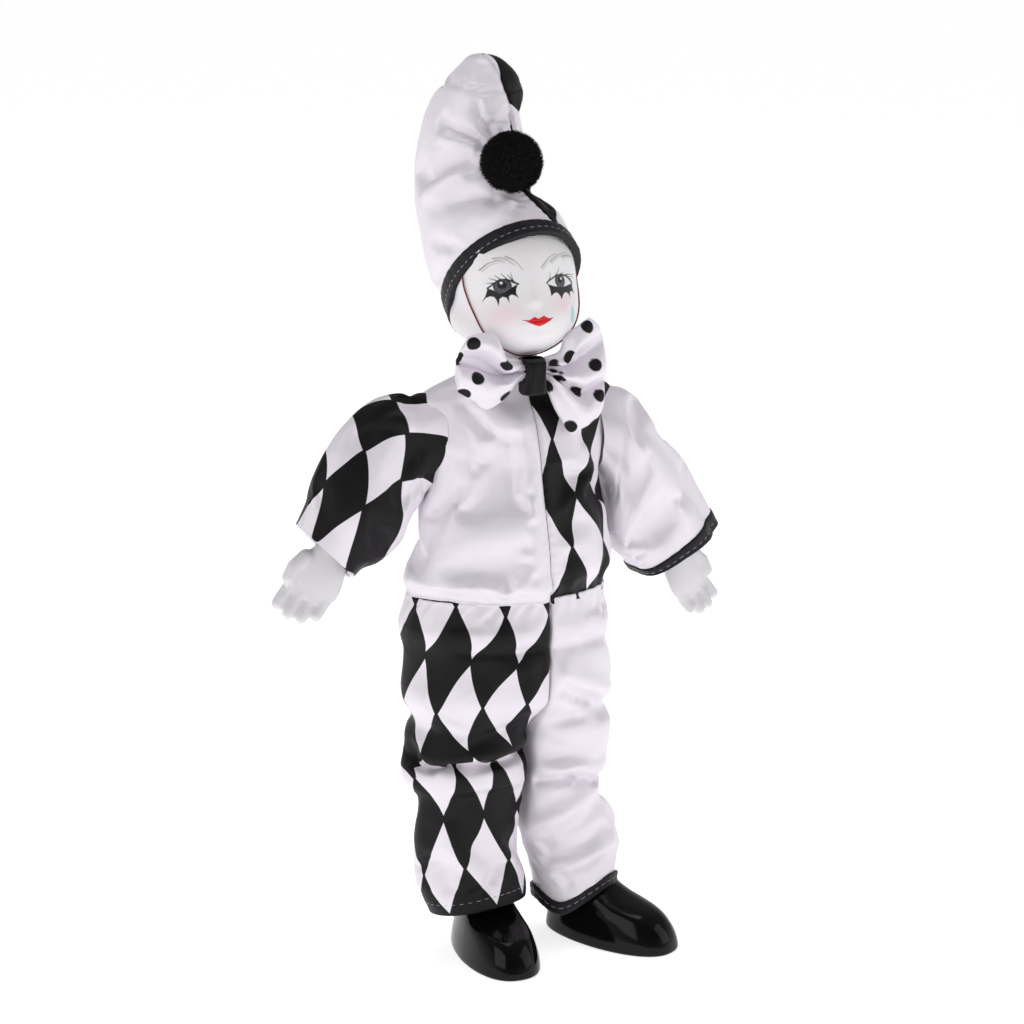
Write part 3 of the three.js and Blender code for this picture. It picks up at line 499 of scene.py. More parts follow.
def settle(points, hold, wrap=False):
    """Lets a panel of satin that was cut a little full buckle into folds of its own, by cloth
    simulation. hold is 1 where it is sewn down."""
    few = points[::EVERY, ::EVERY]
    loose = few[:, :-1] if wrap else few
    held = hold[::EVERY, ::EVERY]
    held = held[:, :-1] if wrap else held
    place = np.arange(held.size).reshape(held.shape)
    place = np.hstack([place, place[:, :1]]) if wrap else place
    start = loose.reshape(-1, 3)
    mesh = bpy.data.meshes.new("panel")
    mesh.from_pydata((start / SETTLE_SCALE).tolist(), [], quads(place).reshape(-1, 4).tolist())
    panel = linked("panel", mesh)
    sewn = panel.vertex_groups.new(name="sewn")
    for index, share in enumerate(held.ravel()):
        sewn.add([index], float(0.02 + 0.98 * share), "REPLACE")
    cloth = panel.modifiers.new("cloth", "CLOTH")
    for name, value in {
        "quality": 6, "mass": 0.2, "tension_stiffness": 20, "compression_stiffness": 20,
        "shear_stiffness": 8, "bending_stiffness": 8, "tension_damping": 5,
        "compression_damping": 5, "shear_damping": 5, "air_damping": 4,
        "vertex_group_mass": "sewn", "vertex_group_shrink": "sewn", "pin_stiffness": 0.6,
        "shrink_min": -CUT_FULL, "shrink_max": 0,
    }.items():
        setattr(cloth.settings, name, value)
    cloth.settings.effector_weights.gravity = 0
    cloth.collision_settings.use_collision = False
    cloth.point_cache.frame_start, cloth.point_cache.frame_end = 1, SETTLE_STEPS
    for step in range(1, SETTLE_STEPS + 1):
        bpy.context.scene.frame_set(step)
    depsgraph = bpy.context.evaluated_depsgraph_get()
    result = panel.evaluated_get(depsgraph).to_mesh()
    end = np.zeros(len(start) * 3, np.float32)
    result.vertices.foreach_get("co", end)
    bpy.data.objects.remove(panel)
    bpy.data.meshes.remove(mesh)
    move = end.reshape(-1, 3) * SETTLE_SCALE - start
    far = np.linalg.norm(move, axis=1, keepdims=True)
    move *= SETTLE_MOST * np.tanh(far / SETTLE_MOST) / np.maximum(far, 1e-6)
    move = move.reshape(*held.shape, 3)
    move = np.concatenate([move, move[:, :1]], axis=1) if wrap else move
    for axis in (0, 1):
        move = np.moveaxis(move, axis, 0)
        count = len(move)
        between = through(np.c_[np.arange(count), move.reshape(count, -1)])
        fine = np.arange(EVERY * (count - 1) + 1) / EVERY
        finer = np.moveaxis(between(fine), 0, -1)
        move = np.moveaxis(finer.reshape(len(fine), *move.shape[1:]), 0, axis)
    return points + move


LEG_COLUMNS = 189
# rows of cloth turned in at the hem and the waist: up or down from the edge, and inwards
HEM_TURNED_IN = [(11, -2.2), (5, -1.8), (0.6, -1.4), (-0.25, -0.7)]
WAIST_TURNED_IN = [(-0.25, -0.5), (0.6, -1.2), (6, -1.6), (12, -2.2)]


def trouser_leg(side, section, folds, bottom, seed, droop=0.0):
    turn = np.linspace(0, 2 * np.pi, LEG_COLUMNS)[None, :]
    share = np.linspace(0, 1, 177)[:, None]
    low = bottom(turn)
    height = mix(low, WAIST_Z, share)
    plain = trouser_point(side, section, folds, turn, height, 0)
    around = arc_lengths(plain, 1)
    creased = rumple(around, height + 50 * (side + 1), seed, 13)
    degrees = np.degrees(turn)
    gathers = np.sin(0.9 * around + 2 * unevenness(around, height, 12, seed + 9))
    proud = creased * smooth_step(0, 0.05, share) + 0.3 * gathers * smooth_step(144, 158, height)
    hanging = droop * np.exp(-(((height - low) / 6) ** 2) - ((degrees - 262) / 34) ** 2)
    points = trouser_point(side, section, folds, turn, height, proud + 0.8 * hanging)
    points[..., 2] -= hanging
    hem, waist = [], []
    for up, inward in HEM_TURNED_IN:
        hem.append(trouser_point(side, section, folds, turn, low + up, inward + creased[:1]))
    for down, inward in WAIST_TURNED_IN:
        high = WAIST_Z - down + 0 * turn
        waist.append(trouser_point(side, section, folds, turn, high, inward + proud[-1:]))
    points = np.concatenate([*hem, points, *waist])
    (middle,) = between_legs(height)
    from_seam = np.abs(plain[..., 0] - middle)
    hold = np.ones(points.shape[:2])
    hold[4:-4] = 1 - smooth_step(6, 15, height - low) * smooth_step(5, 16, WAIST_Z - height)
    hold[4:-4] = np.maximum(hold[4:-4], 1 - smooth_step(1, 10, from_seam))
    points = settle(points, hold, wrap=True)
    along = np.concatenate([low - np.array(HEM_TURNED_IN)[:, :1], height])
    over = WAIST_Z + np.array([[0.25], [1], [6], [12]]) + 0 * turn
    along = np.concatenate([along, over])
    around = arc_lengths(points, 1)
    front = np.argmin(np.abs(turn[0] - math.radians(270)))
    across = around - around[:, front : front + 1]
    # the print runs straight up the back, whatever the folds take in there
    girth = around[:, -1]
    even = np.polyval(np.polyfit(along.mean(1), girth, 2), along.mean(1)) / girth
    across = across * mix(1, even[:, None], smooth_step(0.2, 0.5, -across / girth[:, None]))
    return points, np.stack([across, along], axis=2)


def stitch_row(name, path, out, long=2.6, gap=0.9, thick=0.42):
    """A row of sewing stitches along a path of points that lies on the cloth, with out the
    direction away from the cloth at each point."""
    length = np.concatenate([[0], np.cumsum(np.linalg.norm(np.diff(path, axis=0), axis=1))])
    count = int(length[-1] / (long + gap))
    points, faces = [], []
    ring = np.linspace(0, 2 * np.pi, 6, endpoint=False)
    for k in range(count):
        spots = (k + np.linspace(0, long / (long + gap), 7)) * length[-1] / count
        middle = np.stack([np.interp(spots, length, path[:, i]) for i in range(3)], axis=1)
        away = np.stack([np.interp(spots, length, out[:, i]) for i in range(3)], axis=1)
        ahead = unit(np.gradient(middle, axis=0))
        aside = np.cross(away, ahead)
        arch = np.sin(np.linspace(0, np.pi, 7))[:, None]
        fat = thick / 2 * (0.45 + 0.55 * arch)
        middle = middle + away * (arch * 0.32 * thick - 0.1)
        base = len(points) * 6
        for m, a, s, f in zip(middle, away, aside, fat):
            points.append(m + f * (np.cos(ring)[:, None] * a + np.sin(ring)[:, None] * s))
        for r in range(6):
            for c in range(6):
                low, high = base + r * 6, base + r * 6 + 6
                faces.append((low + c, low + (c + 1) % 6, high + (c + 1) % 6, high + c))
    return mesh_piece(name, np.concatenate(points), faces)


PRINT_REACH = 22  # how far one corner pulls the print round it, in mm


def fitted(cloth, rows):
    """Where each place of the flat cloth lies in the print. Each row is such a pair, read at the
    corners of the diamonds: across and along the cloth, then across and along the print."""
    table = np.array(rows, float)
    known, printed = table[:, :2], table[:, 2:]
    straight = np.c_[known, np.ones(len(known))]
    plain = np.linalg.lstsq(straight, printed, rcond=None)[0]
    spread = ((known[:, None] - known[None]) ** 2).sum(2) / (2 * PRINT_REACH**2)
    pull = np.exp(-spread) + 0.03 * np.eye(len(known))
    weights = np.linalg.solve(pull, printed - straight @ plain)
    flat = cloth.reshape(-1, 2)
    near = np.exp(-((flat[:, None] - known[None]) ** 2).sum(2) / (2 * PRINT_REACH**2))
    return (np.c_[flat, np.ones(len(flat))] @ plain + near @ weights).reshape(cloth.shape)


RIGHT_LEG_PRINT_ABOVE = [
    (-33.5, 156.4, 9.5, 22), (-14, 157.8, 28.5, 22), (6.3, 153.3, 47.5, 22),
    (25.8, 152.5, 66.5, 22), (-27.8, 136.7, 19, 0), (-7.2, 135.8, 38, 0), (12, 132.1, 57, 0),
    (-45.2, 116.1, 9.5, -22), (-22.1, 113.5, 28.5, -22), (-3.3, 116.7, 47.5, -22),
    (14.4, 118.2, 66.5, -22), (-29.5, 95.2, 19, -44), (-7.5, 98.5, 38, -44), (14, 94, 57, -44),
]
RIGHT_LEG_PRINT_BELOW = [
    (-30.8, 83, 9.5, -66), (-11.4, 88.4, 28.5, -66), (5.3, 93.7, 47.5, -66),
    (-15.6, 67.1, 19, -88), (1, 65.6, 38, -88), (22, 65.2, 57, -88), (-28.8, 37.9, 9.5, -110),
    (-9.7, 44.4, 28.5, -110), (13.3, 43.6, 47.5, -110), (-18.8, 21.9, 19, -132),
    (2.8, 25, 38, -132), (17, 25.3, 57, -132),
]
KNEE_FOLD = 90.5

right_points, right_cloth = trouser_leg(-1, right_leg, RIGHT_LEG_FOLDS, right_hem_height, 11)
# the cloth folds under itself at the knee, where the print jumps
across, along = right_cloth[..., 0], right_cloth[..., 1]
sharp = smooth_step(KNEE_FOLD + 0.6, KNEE_FOLD - 0.6, along)
gradual = smooth_step(KNEE_FOLD + 16, KNEE_FOLD - 16, along)
in_front = smooth_step(40, 30, np.abs(across + 2))
right_print = mix(
    fitted(right_cloth, RIGHT_LEG_PRINT_ABOVE),
    fitted(right_cloth, RIGHT_LEG_PRINT_BELOW),
    mix(gradual, sharp, in_front)[..., None],
)
trousers_right = grid_piece(
    "trousers_right_leg_satin", right_points, wrap=True, cloth=right_cloth, print=right_print
)
dress(trousers_right, "diamond_satin", diamond_satin, "trousers_right_leg")

left_points, left_cloth = trouser_leg(
    1, left_leg, LEFT_LEG_FOLDS,
    lambda turn: left_hem_height(turn) + BINDING_WIDE - 0.5, 23, droop=1.2,
)
trousers_left = grid_piece("trousers_left_leg_satin", left_points, wrap=True, cloth=left_cloth)
dress(trousers_left, "white_satin", white_satin, "trousers_left_leg")

BAND_SECTION = [
    # proud of the satin under it, share of the binding's width
    (-1.5, 0.1), (-0.7, 0), (0.1, 0), (0.55, 0.04), (0.74, 0.12), (0.8, 0.3), (0.74, 0.46),
    (0.5, 0.55), (0.74, 0.64), (0.74, 0.85), (0.6, 0.95), (0.2, 1), (-0.7, 1), (-1.5, 0.9),
]
STITCH_SHARE = 0.55


def band(name, point_at, wide, steps=220):
    """A folded strip of binding round an edge. point_at(turn, share, proud) lies on the edge."""
    turn = np.linspace(0, 2 * np.pi, steps + 1)[None, :]
    proud, share = np.array(BAND_SECTION).T[..., None]
    waves = 0.06 * np.sin(31 * turn) * np.sin(3 * turn + 1) + 0.05 * np.sin(47 * turn + 2)
    points = point_at(turn, share, proud + waves)
    around = arc_lengths(points, 1)
    across = share * wide + np.maximum(-proud, 0)
    cloth = np.stack([around, across + 0 * around], axis=2)
    return grid_piece(name, points, wrap=True, cloth=cloth)


def left_hem_point(turn, share, proud):
    height = left_hem_height(turn) + share * BINDING_WIDE
    x, y, wide, deep = left_leg(height)
    proud = proud + BINDING_PROUD
    across, along = (wide + proud) * np.cos(turn), (deep + proud) * np.sin(turn)
    return np.stack([x + across, y + along, height], axis=-1)


left_hem_binding = band("trousers_left_binding_satin", left_hem_point, BINDING_WIDE)
dress(left_hem_binding, "black_binding", black_binding, "trousers_left_binding")


def ring_stitches(name, point_at, share, proud, **sizes):
    turn = np.linspace(0, 2 * np.pi, 361)
    path = point_at(turn, np.full(361, share), np.full(361, proud))
    out = unit(point_at(turn, np.full(361, share), np.full(361, proud + 1.0)) - path)
    return stitch_row(name, path, out, **sizes)


hem_thread = ring_stitches("trousers_left_binding_stitches", left_hem_point, STITCH_SHARE, 0.5)
dress(hem_thread, "black_binding", white_thread)


def right_hem_point(turn, share, proud):
    height = right_hem_height(turn) + share
    return trouser_point(-1, right_leg, RIGHT_LEG_FOLDS, turn, height, proud)


right_thread = ring_stitches("trousers_right_hem_stitches", right_hem_point, 5.2, 0.1, thick=0.34)
dress(right_thread, "diamond_satin", white_thread)


# Tunic: a white half on the doll's right and a printed half on its left, sewn down the front and
# back and gathered at the neck. The white half bags over the waist of the trousers and the
# printed half is tucked inside it.
TUNIC = [
    # height, centre x, centre y, half width, half depth
    (156, -1.4, 1.5, 42, 27.5), (159.3, -1.4, 1.5, 42, 27.5), (164, -1.6, 1, 43.2, 29),
    (173, -1.4, 0.5, 42.6, 29.5), (187, -1.2, 0, 40, 28.5), (205, -0.5, 0, 37.5, 26),
    (220, 0.5, 0, 39.5, 23), (234, 1, 0, 42.5, 17.5), (240, 1, 0, 42.5, 14),
    (244, 0.5, 0, 36, 12.8), (248, -0.5, 0, 24, 12.4), (251, -1, 0, 14.5, 12),
]
TUNIC_FOLDS = [
    (231, 238, 240, 228.5, 2.6, -1.3), (240, 228.5, 252, 223.5, 2.6, -1.3),
    (236, 243, 257, 231, 5, 1.3), (240, 212, 244, 177, 15, -2.4),
    (264.5, 228, 264.5, 172, 6.5, 1.9), (253, 212, 261, 184, 3.6, -1),
    (209, 222, 184, 186, 5.5, 1.7), (217, 217, 197, 178, 5, -1), (198, 167, 268, 163.5, 4.5, 1.5),
    (286, 232, 292, 190, 6, -1.2), (304, 212, 308, 172, 6, 1.2), (330, 205, 322, 170, 5, -1.2),
]
HALF_COLUMNS = 153
TUNIC_CUT_WIDE = 112  # from seam to seam on the flat cloth
FRONT_SEAM = [(150, 5.3), (175, 4.2), (205, 2), (251, 1.5)]  # height, x
tunic = through(TUNIC)
front_seam = through(FRONT_SEAM)


def tunic_point(turn, height, proud):
    x, y, wide, deep = tunic(height)
    raised = proud + lift(TUNIC_FOLDS, np.degrees(turn) % 360, height, 36)
    across, along = (wide + raised) * np.cos(turn), (deep + raised) * np.sin(turn)
    return np.stack([x + across, y + along, height + 0 * turn], axis=-1)


TUNIC_PRINT = [
    (6.2, 224, 9.5, 22), (24.4, 215.2, 28.5, 22), (-1.5, 201.9, 0, 0), (13.5, 200.7, 19, 0),
    (9.6, 179.9, 9.5, -22), (30.5, 179, 28.5, -22), (0.3, 158.7, 0, -44), (20.4, 157.7, 19, -44),
]


def half_turns(side, front, behind, share):
    """Turns across one half of a garment: from its front seam round to the one behind on the
    doll's left, and on from there to the front again on its right."""
    return mix(front, behind, share) if side > 0 else mix(behind, front + 2 * np.pi, share)


def half_lengths(side, plain):
    """Lengths round a half from its first seam, from its front seam and from the nearer one."""
    around = arc_lengths(plain, 1)
    from_front = around if side > 0 else around - around[:, -1:]
    return around, from_front, np.minimum(around, around[:, -1:] - around)


def seam_relief(up, to_seam, seed, tall, off, wide):
    """The small puckers a little off a seam, and the groove along it."""
    pucker = tall * np.sin(up * 1.5 + 2 * unevenness(up, 0 * up, 7, seed + 5))
    return pucker * hump(to_seam - off, wide), -0.9 * hump(to_seam, 0.9)


def tunic_half(name, side, seed):
    """Rows up one half of the tunic and columns from its front seam round to its back seam."""
    bag = 1.0 if side < 0 else 0.0
    steps = [(166, -4.5), (160, -3.2), (158.4, -2.0)]
    if bag:
        steps += [(157.2, -0.6), (157.0, 0.4), (157.6, 1.0)]
    count, start = (120, 158.2) if bag else (119, 156.5)
    heights = np.concatenate([np.array(steps)[:, 0], np.linspace(start, 250.6, count)])
    inset = np.concatenate([np.array(steps)[:, 1], np.full(count, 0.0)])
    heights = np.append(heights, [251.2, 250.8, 246])
    inset = np.append(inset, [-0.4, -1.4, -2.0])
    height, share = np.meshgrid(heights, np.linspace(0, 1, HALF_COLUMNS), indexing="ij")
    x, _, wide, _ = tunic(height)
    (seam_x,) = front_seam(height)
    opening = np.arccos(np.clip((seam_x + side * 0.12 - x) / wide, -1, 1))
    turn = half_turns(side, -opening, opening, share)
    plain = tunic_point(turn, height, 0)
    around, from_front, to_seam = half_lengths(side, plain)
    creased = rumple(around, height + 60, seed, 15) * smooth_step(0, 6, to_seam)
    pucker, groove = seam_relief(height, to_seam, seed, 0.1, 1.8, 2.2)
    gathered = np.sin(0.6 * around + 2.5 * unevenness(around, height, 11, seed + 7))
    low_down = smooth_step(172, 160, height)
    gathered *= 0.4 * low_down
    bagged = bag * 1.5 * low_down * smooth_step(156.5, 158.5, height)
    lowest = bag * 0.7 * unevenness(around, 0 * around, 16, seed + 3)
    lowest = lowest * smooth_step(163, 158, height)
    lowest = lowest + bag * 2.6 * hump(from_front + 50, 25) * low_down
    proud = np.where(inset[:, None] < 0, 0.3, 1) * (creased + gathered)
    proud = proud + inset[:, None] + pucker + groove + bagged
    points = tunic_point(turn, height, proud)
    points[..., 2] += lowest
    off_arm = np.hypot(plain[..., 1], height - 222) + 60 * (np.abs(plain[..., 0]) < 24)
    hold = np.maximum(1 - smooth_step(1.5, 13, to_seam), smooth_step(234, 244, height))
    hold = np.maximum(hold, smooth_step(170, 160, height))
    points = settle(points, np.maximum(hold, smooth_step(24, 15, off_arm)))
    # the back is a panel of its own, sewn to the front along the shoulder
    gradual, sharp = smooth_step(0.3, 0.75, share), smooth_step(0.495, 0.505, share)
    behind = mix(gradual, sharp, smooth_step(228, 240, height))
    across = from_front - side * behind * (around[:, -1:] - TUNIC_CUT_WIDE)
    cloth = np.stack([across, height], axis=2)
    layers = {"print": fitted(cloth, TUNIC_PRINT)} if side > 0 else {}
    return grid_piece(name, points, cloth=cloth, **layers)


tunic_white = tunic_half("tunic_white_half_satin", -1, 31)
dress(tunic_white, "white_satin", white_satin, "tunic_white_half")
tunic_printed = tunic_half("tunic_diamond_half_satin", 1, 47)
dress(tunic_printed, "diamond_satin", diamond_satin, "tunic_diamond_half")


# Sleeves: wide bells set into the armholes, cut in one with no cuff. The right one is printed
# and simply turned in at its mouth, and the left one is white with a black bias binding.
RIGHT_SLEEVE = [
    # share of the length, centre x y z, half vector to the outer edge x y z, half depth
    (0, -33.5, 0, 223.5, 2, 0, 18.5, 12), (0.12, -41.3, 0, 222, -1.3, 0, 20.5, 12),
    (0.3, -51.5, 1, 217, -6.5, 0, 23, 13), (0.5, -60.2, 2, 207.3, -9.8, -0.5, 24.2, 15),
    (0.7, -69.2, 3, 197.1, -11.8, -3, 21.4, 15.5),
    (0.86, -76.2, 3.5, 187.9, -12.3, -5, 16.1, 15.5), (1, -81.5, 3.5, 180.5, -12, -6.5, 12.5, 15),
]
LEFT_SLEEVE = [
    (0, 35, -1, 223, -2, 0, 16.5, 12), (0.12, 42, -1, 219, 1, -1, 20.5, 14),
    (0.3, 49, -0.5, 209, 5.5, -1, 24.5, 15), (0.5, 57, 0.5, 198, 10, -0.5, 21.5, 15),
    (0.7, 65.5, 2, 186, 14, 0, 17, 14.5), (0.86, 73, 3, 175.5, 17, 0.5, 12.5, 14.5),
    (1, 79, 4, 166.5, 18.5, 1, 9, 14.5),
]
# Folds as on the trousers, but with shares of the sleeve's length for heights and widths.
RIGHT_SLEEVE_FOLDS = [
    (230, 0.1, 250, 0.45, 0.1, -1.6), (300, 0.2, 290, 0.6, 0.12, 1.4),
    (330, 0.15, 326, 0.5, 0.1, -1.8),
]
LEFT_SLEEVE_FOLDS = [
    (240, 0.1, 262, 0.7, 0.1, -1.8), (285, 0.2, 282, 0.8, 0.1, 1.6), (312, 0.3, 320, 1, 0.12, -2),
]
SLEEVE_LONG = 68
RIGHT_PINCH, LEFT_PINCH = 0.5, -0.5


def sleeve_point(section, folds, turn, share, proud, pinch):
    """A point on a sleeve. Turn 0 is its outer edge, and its front is a quarter turn back. A
    pinch makes its edges sharper towards the mouth, or its inner edge square if it is below 0."""
    x, y, z, out_x, out_y, out_z, deep = section(share)
    outer = np.stack([out_x, out_y, out_z], axis=-1)
    reach = np.linalg.norm(outer, axis=-1)
    front = np.zeros_like(outer)
    front[..., 1] = -1
    front = unit(front - outer * ((front * outer).sum(axis=-1) / reach**2)[..., None])
    raised = proud + lift(folds, np.degrees(turn) % 360, share, 0.45)
    where = 1 if pinch > 0 else smooth_step(0.3, -0.3, np.cos(turn))
    flat = 1 + pinch * smooth_step(0.2, 0.7, share) * where
    sine, cosine = np.sin(turn), np.cos(turn)
    bulge = np.sign(sine) * np.abs(sine) ** flat
    if pinch < 0:
        cosine = np.sign(cosine) * np.abs(cosine) ** flat
    along = (cosine * (reach + raised) / reach)[..., None] * outer
    return np.stack([x, y, z], axis=-1) + along - (bulge * (deep + raised))[..., None] * front


right_sleeve = through(RIGHT_SLEEVE)
left_sleeve = through(LEFT_SLEEVE)


def sleeve(name, section, folds, end, seed, pinch, prints=None):
    outside = np.linspace(0.02, end, 96)
    turned_in = np.linspace(end - 0.04, end - 0.4, 10)
    shares = np.concatenate([outside, [end + 0.004, end + 0.002, end - 0.01], turned_in])
    inset = np.concatenate([np.zeros(96), [-0.4, -0.9, -1.3], np.linspace(-1.7, -3.4, 10)])
    share, turn = np.meshgrid(shares, np.linspace(-np.pi, np.pi, 181), indexing="ij")
    inside = inset[:, None] + 0 * turn
    # the mouth is cut a little shorter behind
    behind = np.maximum(np.sin(turn), 0) * (pinch > 0)
    share = share - 0.05 * behind * smooth_step(0.5, end, share)
    plain = sleeve_point(section, folds, turn, share, 0, pinch)
    around = arc_lengths(plain, 1)
    creased = rumple(around, share * SLEEVE_LONG, seed, 14)
    creased *= smooth_step(0.02, 0.15, share)
    points = sleeve_point(section, folds, turn, share, inside + creased, pinch)
    hold = np.maximum(smooth_step(0.25, 0.1, share), smooth_step(end - 0.25, end - 0.08, share))
    hold[95:] = 1
    points = settle(points, hold, wrap=True)
    front = np.argmin(np.abs(turn[0] + math.radians(90)))
    along = np.concatenate([outside, 2 * end - shares[96:]]) * SLEEVE_LONG
    cloth = np.stack([around - around[:, front : front + 1], along[:, None] + 0 * turn], axis=2)
    layers = {"cloth": cloth[::-1]}
    if prints:
        layers["print"] = fitted(cloth, prints)[::-1]
    return grid_piece(name, points[::-1], wrap=True, **layers)


RIGHT_SLEEVE_PRINT = [
    (25.1, 18, 9.5, 66), (9.4, 14.5, 19, 44), (19.1, 34.1, 9.5, 22), (-3.3, 25.5, 28.5, 22),
    (23.7, 52.1, 0, 0), (6, 49.2, 19, 0), (18, 69.5, 9.5, -22), (-0.3, 64.9, 28.5, -22),
    (-10, 46.5, 28.5, 0), (-31, 49, 38, 0), (-30, 20, 44, 22), (-22, 67, 34.5, -8),
]
sleeve_right = sleeve(
    "sleeve_right_satin", right_sleeve, RIGHT_SLEEVE_FOLDS, 1, 53, RIGHT_PINCH, RIGHT_SLEEVE_PRINT
)
dress(sleeve_right, "diamond_satin", diamond_satin, "sleeve_right")
BINDING_SHARE = BINDING_WIDE / SLEEVE_LONG
left_end = 1 - BINDING_SHARE * 0.5
sleeve_left = sleeve(
    "sleeve_left_satin", left_sleeve, LEFT_SLEEVE_FOLDS, left_end, 61, LEFT_PINCH
)
dress(sleeve_left, "white_satin", white_satin, "sleeve_left")


def left_cuff_point(turn, share, proud):
    along = 1 - BINDING_SHARE * (1 - share)
    turn, along, proud = np.broadcast_arrays(turn, along, proud)
    return sleeve_point(left_sleeve, LEFT_SLEEVE_FOLDS, turn, along, proud, LEFT_PINCH)


def left_cuff_from_mouth(turn, share, proud):
    return left_cuff_point(turn, 1 - share, proud)


cuff_binding = band("sleeve_left_binding_satin", left_cuff_from_mouth, BINDING_WIDE)
dress(cuff_binding, "black_binding", black_binding, "sleeve_left_binding")
cuff_thread = ring_stitches(
    "sleeve_left_binding_stitches", left_cuff_from_mouth, STITCH_SHARE, 0.5
)
dress(cuff_thread, "black_binding", white_thread)


# Hands: white bisque porcelain, cast in one with the forearm, which is tied into the stuffed arm
# inside the sleeve. The fingers lie side by side, a little apart at their tips.
FINGERS = [
    # across and down at the root, the same at the tip, radius at the root and at the tip
    (7.9, -11, 8.6, -21.6, 2.9, 2.5), (2.7, -12, 3, -22.8, 2.9, 2.6),
    (-2.5, -12, -2.4, -21.8, 2.8, 2.5), (-7.2, -11, -7.2, -18.2, 2.6, 2.3),
]
THUMB = [
    # from, to, radius at both: its lower bone, then its tip
    ((8, -1.5, 0), (10.2, -2.6, -5.5), 3.6, 3), ((10.2, -2.6, -5.5), (10, -3, -10.5), 3.1, 2.7),
]
PALM = [
    # height, half width, half depth
    (-14, 9.4, 3), (-8, 10.8, 4.2), (-1, 9.8, 5), (7, 7.4, 5.2), (18, 7.8, 6.6), (38, 8.4, 8),
]

BISQUE_CLOUDS = {"Scale": 55.0, "Detail": 2.0}
BISQUE_GRAIN = (1800.0, 2.0, 0.08, 0.0001)  # scale and detail of its noise, strength, metres

# Unglazed bisque: chalk white with a faint warm-cool cloudiness, a soft silky sheen and a
# very fine grain. Light goes a little way into it.
bisque = two_toned(
    "white_bisque_porcelain", "TexNoise", BISQUE_CLOUDS, ("#e8e5e7", "#dfdde2"),
    {
        "Roughness": 0.42, "IOR": 1.48, "Subsurface Weight": 0.15,
        "Subsurface Radius": (0.002, 0.0018, 0.0016), "Subsurface Scale": 1.0,
    },
    relief=BISQUE_GRAIN,
)


def blob(start, end, start_radius, end_radius):
    """A closed round-ended rod, as points and faces."""
    start, end = np.array(start, float), np.array(end, float)
    axis = unit(end - start)
    side = unit(np.cross(axis, (0, 1, 0) if abs(axis[1]) < 0.9 else (1, 0, 0)))
    other = np.cross(axis, side)
    ends = [(start, start_radius, lean) for lean in np.radians(np.linspace(-89, 0, 7))]
    ends += [(end, end_radius, lean) for lean in np.radians(np.linspace(0, 89, 7))]
    turn = np.linspace(0, 2 * np.pi, 24, endpoint=False)[:, None]
    round_it = np.cos(turn) * side + np.sin(turn) * other
    rings = [
        middle + axis * radius * math.sin(lean) + radius * math.cos(lean) * round_it
        for middle, radius, lean in ends
    ]
    return tube_faces(np.concatenate(rings), len(rings), 24)


def tube_faces(points, rings, sides):
    faces = []
    for low in range(0, (rings - 1) * sides, sides):
        for c in range(sides):
            d = (c + 1) % sides
            faces.append((low + c, low + d, low + sides + d, low + sides + c))
    low, high = len(points), len(points) + 1
    points = np.concatenate([points, points[:sides].mean(0)[None], points[-sides:].mean(0)[None]])
    faces += [(low, (c + 1) % sides, c, c) for c in range(sides)]
    top = (rings - 1) * sides
    faces += [(high, top + c, top + (c + 1) % sides, top + (c + 1) % sides) for c in range(sides)]
    return points, faces


def rotation(axis, angle):
    """A turn about x, y or z, which are 0, 1 and 2."""
    made = np.eye(3)
    a, b = (axis + 1) % 3, (axis + 2) % 3
    made[a, a] = made[b, b] = math.cos(angle)
    made[b, a], made[a, b] = math.sin(angle), -math.sin(angle)
    return made


def hand(name, outer, cuff, lean, node):
    parts = []
    heights = np.linspace(-14, 38, 40)
    wide, deep = through(PALM)(heights)
    turn = np.linspace(0, 2 * np.pi, 40, endpoint=False)
    palm_x, palm_y = wide[:, None] * np.cos(turn), deep[:, None] * np.sin(turn)
    palm = np.stack([palm_x, palm_y, heights[:, None] + 0 * turn], axis=2)
    parts.append(tube_faces(palm.reshape(-1, 3), 40, 40))
    for root_x, root_z, tip_x, tip_z, root_radius, tip_radius in FINGERS:
        root = np.array([outer * root_x, 0, root_z])
        tip = np.array([outer * tip_x, -1.5, tip_z])
        knuckle = root * 0.45 + tip * 0.55 + np.array([0, 0.5, 0])
        middle_radius = (root_radius + tip_radius) / 2
        parts.append(blob(root, knuckle, root_radius, middle_radius * 0.97))
        parts.append(blob(knuckle, tip, middle_radius * 1.03, tip_radius))
    mirrored = np.array([outer, 1, 1])
    for thumb_root, thumb_tip, *radii in THUMB:
        parts.append(blob(mirrored * thumb_root, mirrored * thumb_tip, *radii))
    spin = rotation(2, math.radians(25) * outer)
    tip_out = rotation(1, -outer * math.radians(lean))
    mesh = bpy.data.meshes.new(name)
    points, faces = [], []
    for part_points, part_faces in parts:
        base = sum(len(p) for p in points)
        points.append(part_points @ (tip_out @ spin).T + np.array(cuff))
        faces += [tuple(dict.fromkeys(base + i for i in face)) for face in part_faces]
    mesh.from_pydata(on(np.concatenate(points)).tolist(), [], faces)
    piece = linked(name, mesh)
    cast = piece.modifiers.new("cast", "REMESH")
    cast.mode = "VOXEL"
    cast.voxel_size = 0.00055
    rubbed = piece.modifiers.new("rubbed", "SMOOTH")
    rubbed.iterations = 9
    rubbed.factor = 0.6
    depsgraph = bpy.context.evaluated_depsgraph_get()
    made = bpy.data.meshes.new_from_object(piece.evaluated_get(depsgraph))
    made.shade_smooth()
    piece.modifiers.clear()
    piece.data = made
    dress(piece, "bisque_porcelain", bisque, node)


hand("hand_right_cast", -1, (-82.5, 1, 175), 34, "hand_right")
hand("hand_left_cast", 1, (80.6, 4, 158.6), 28, "hand_left")


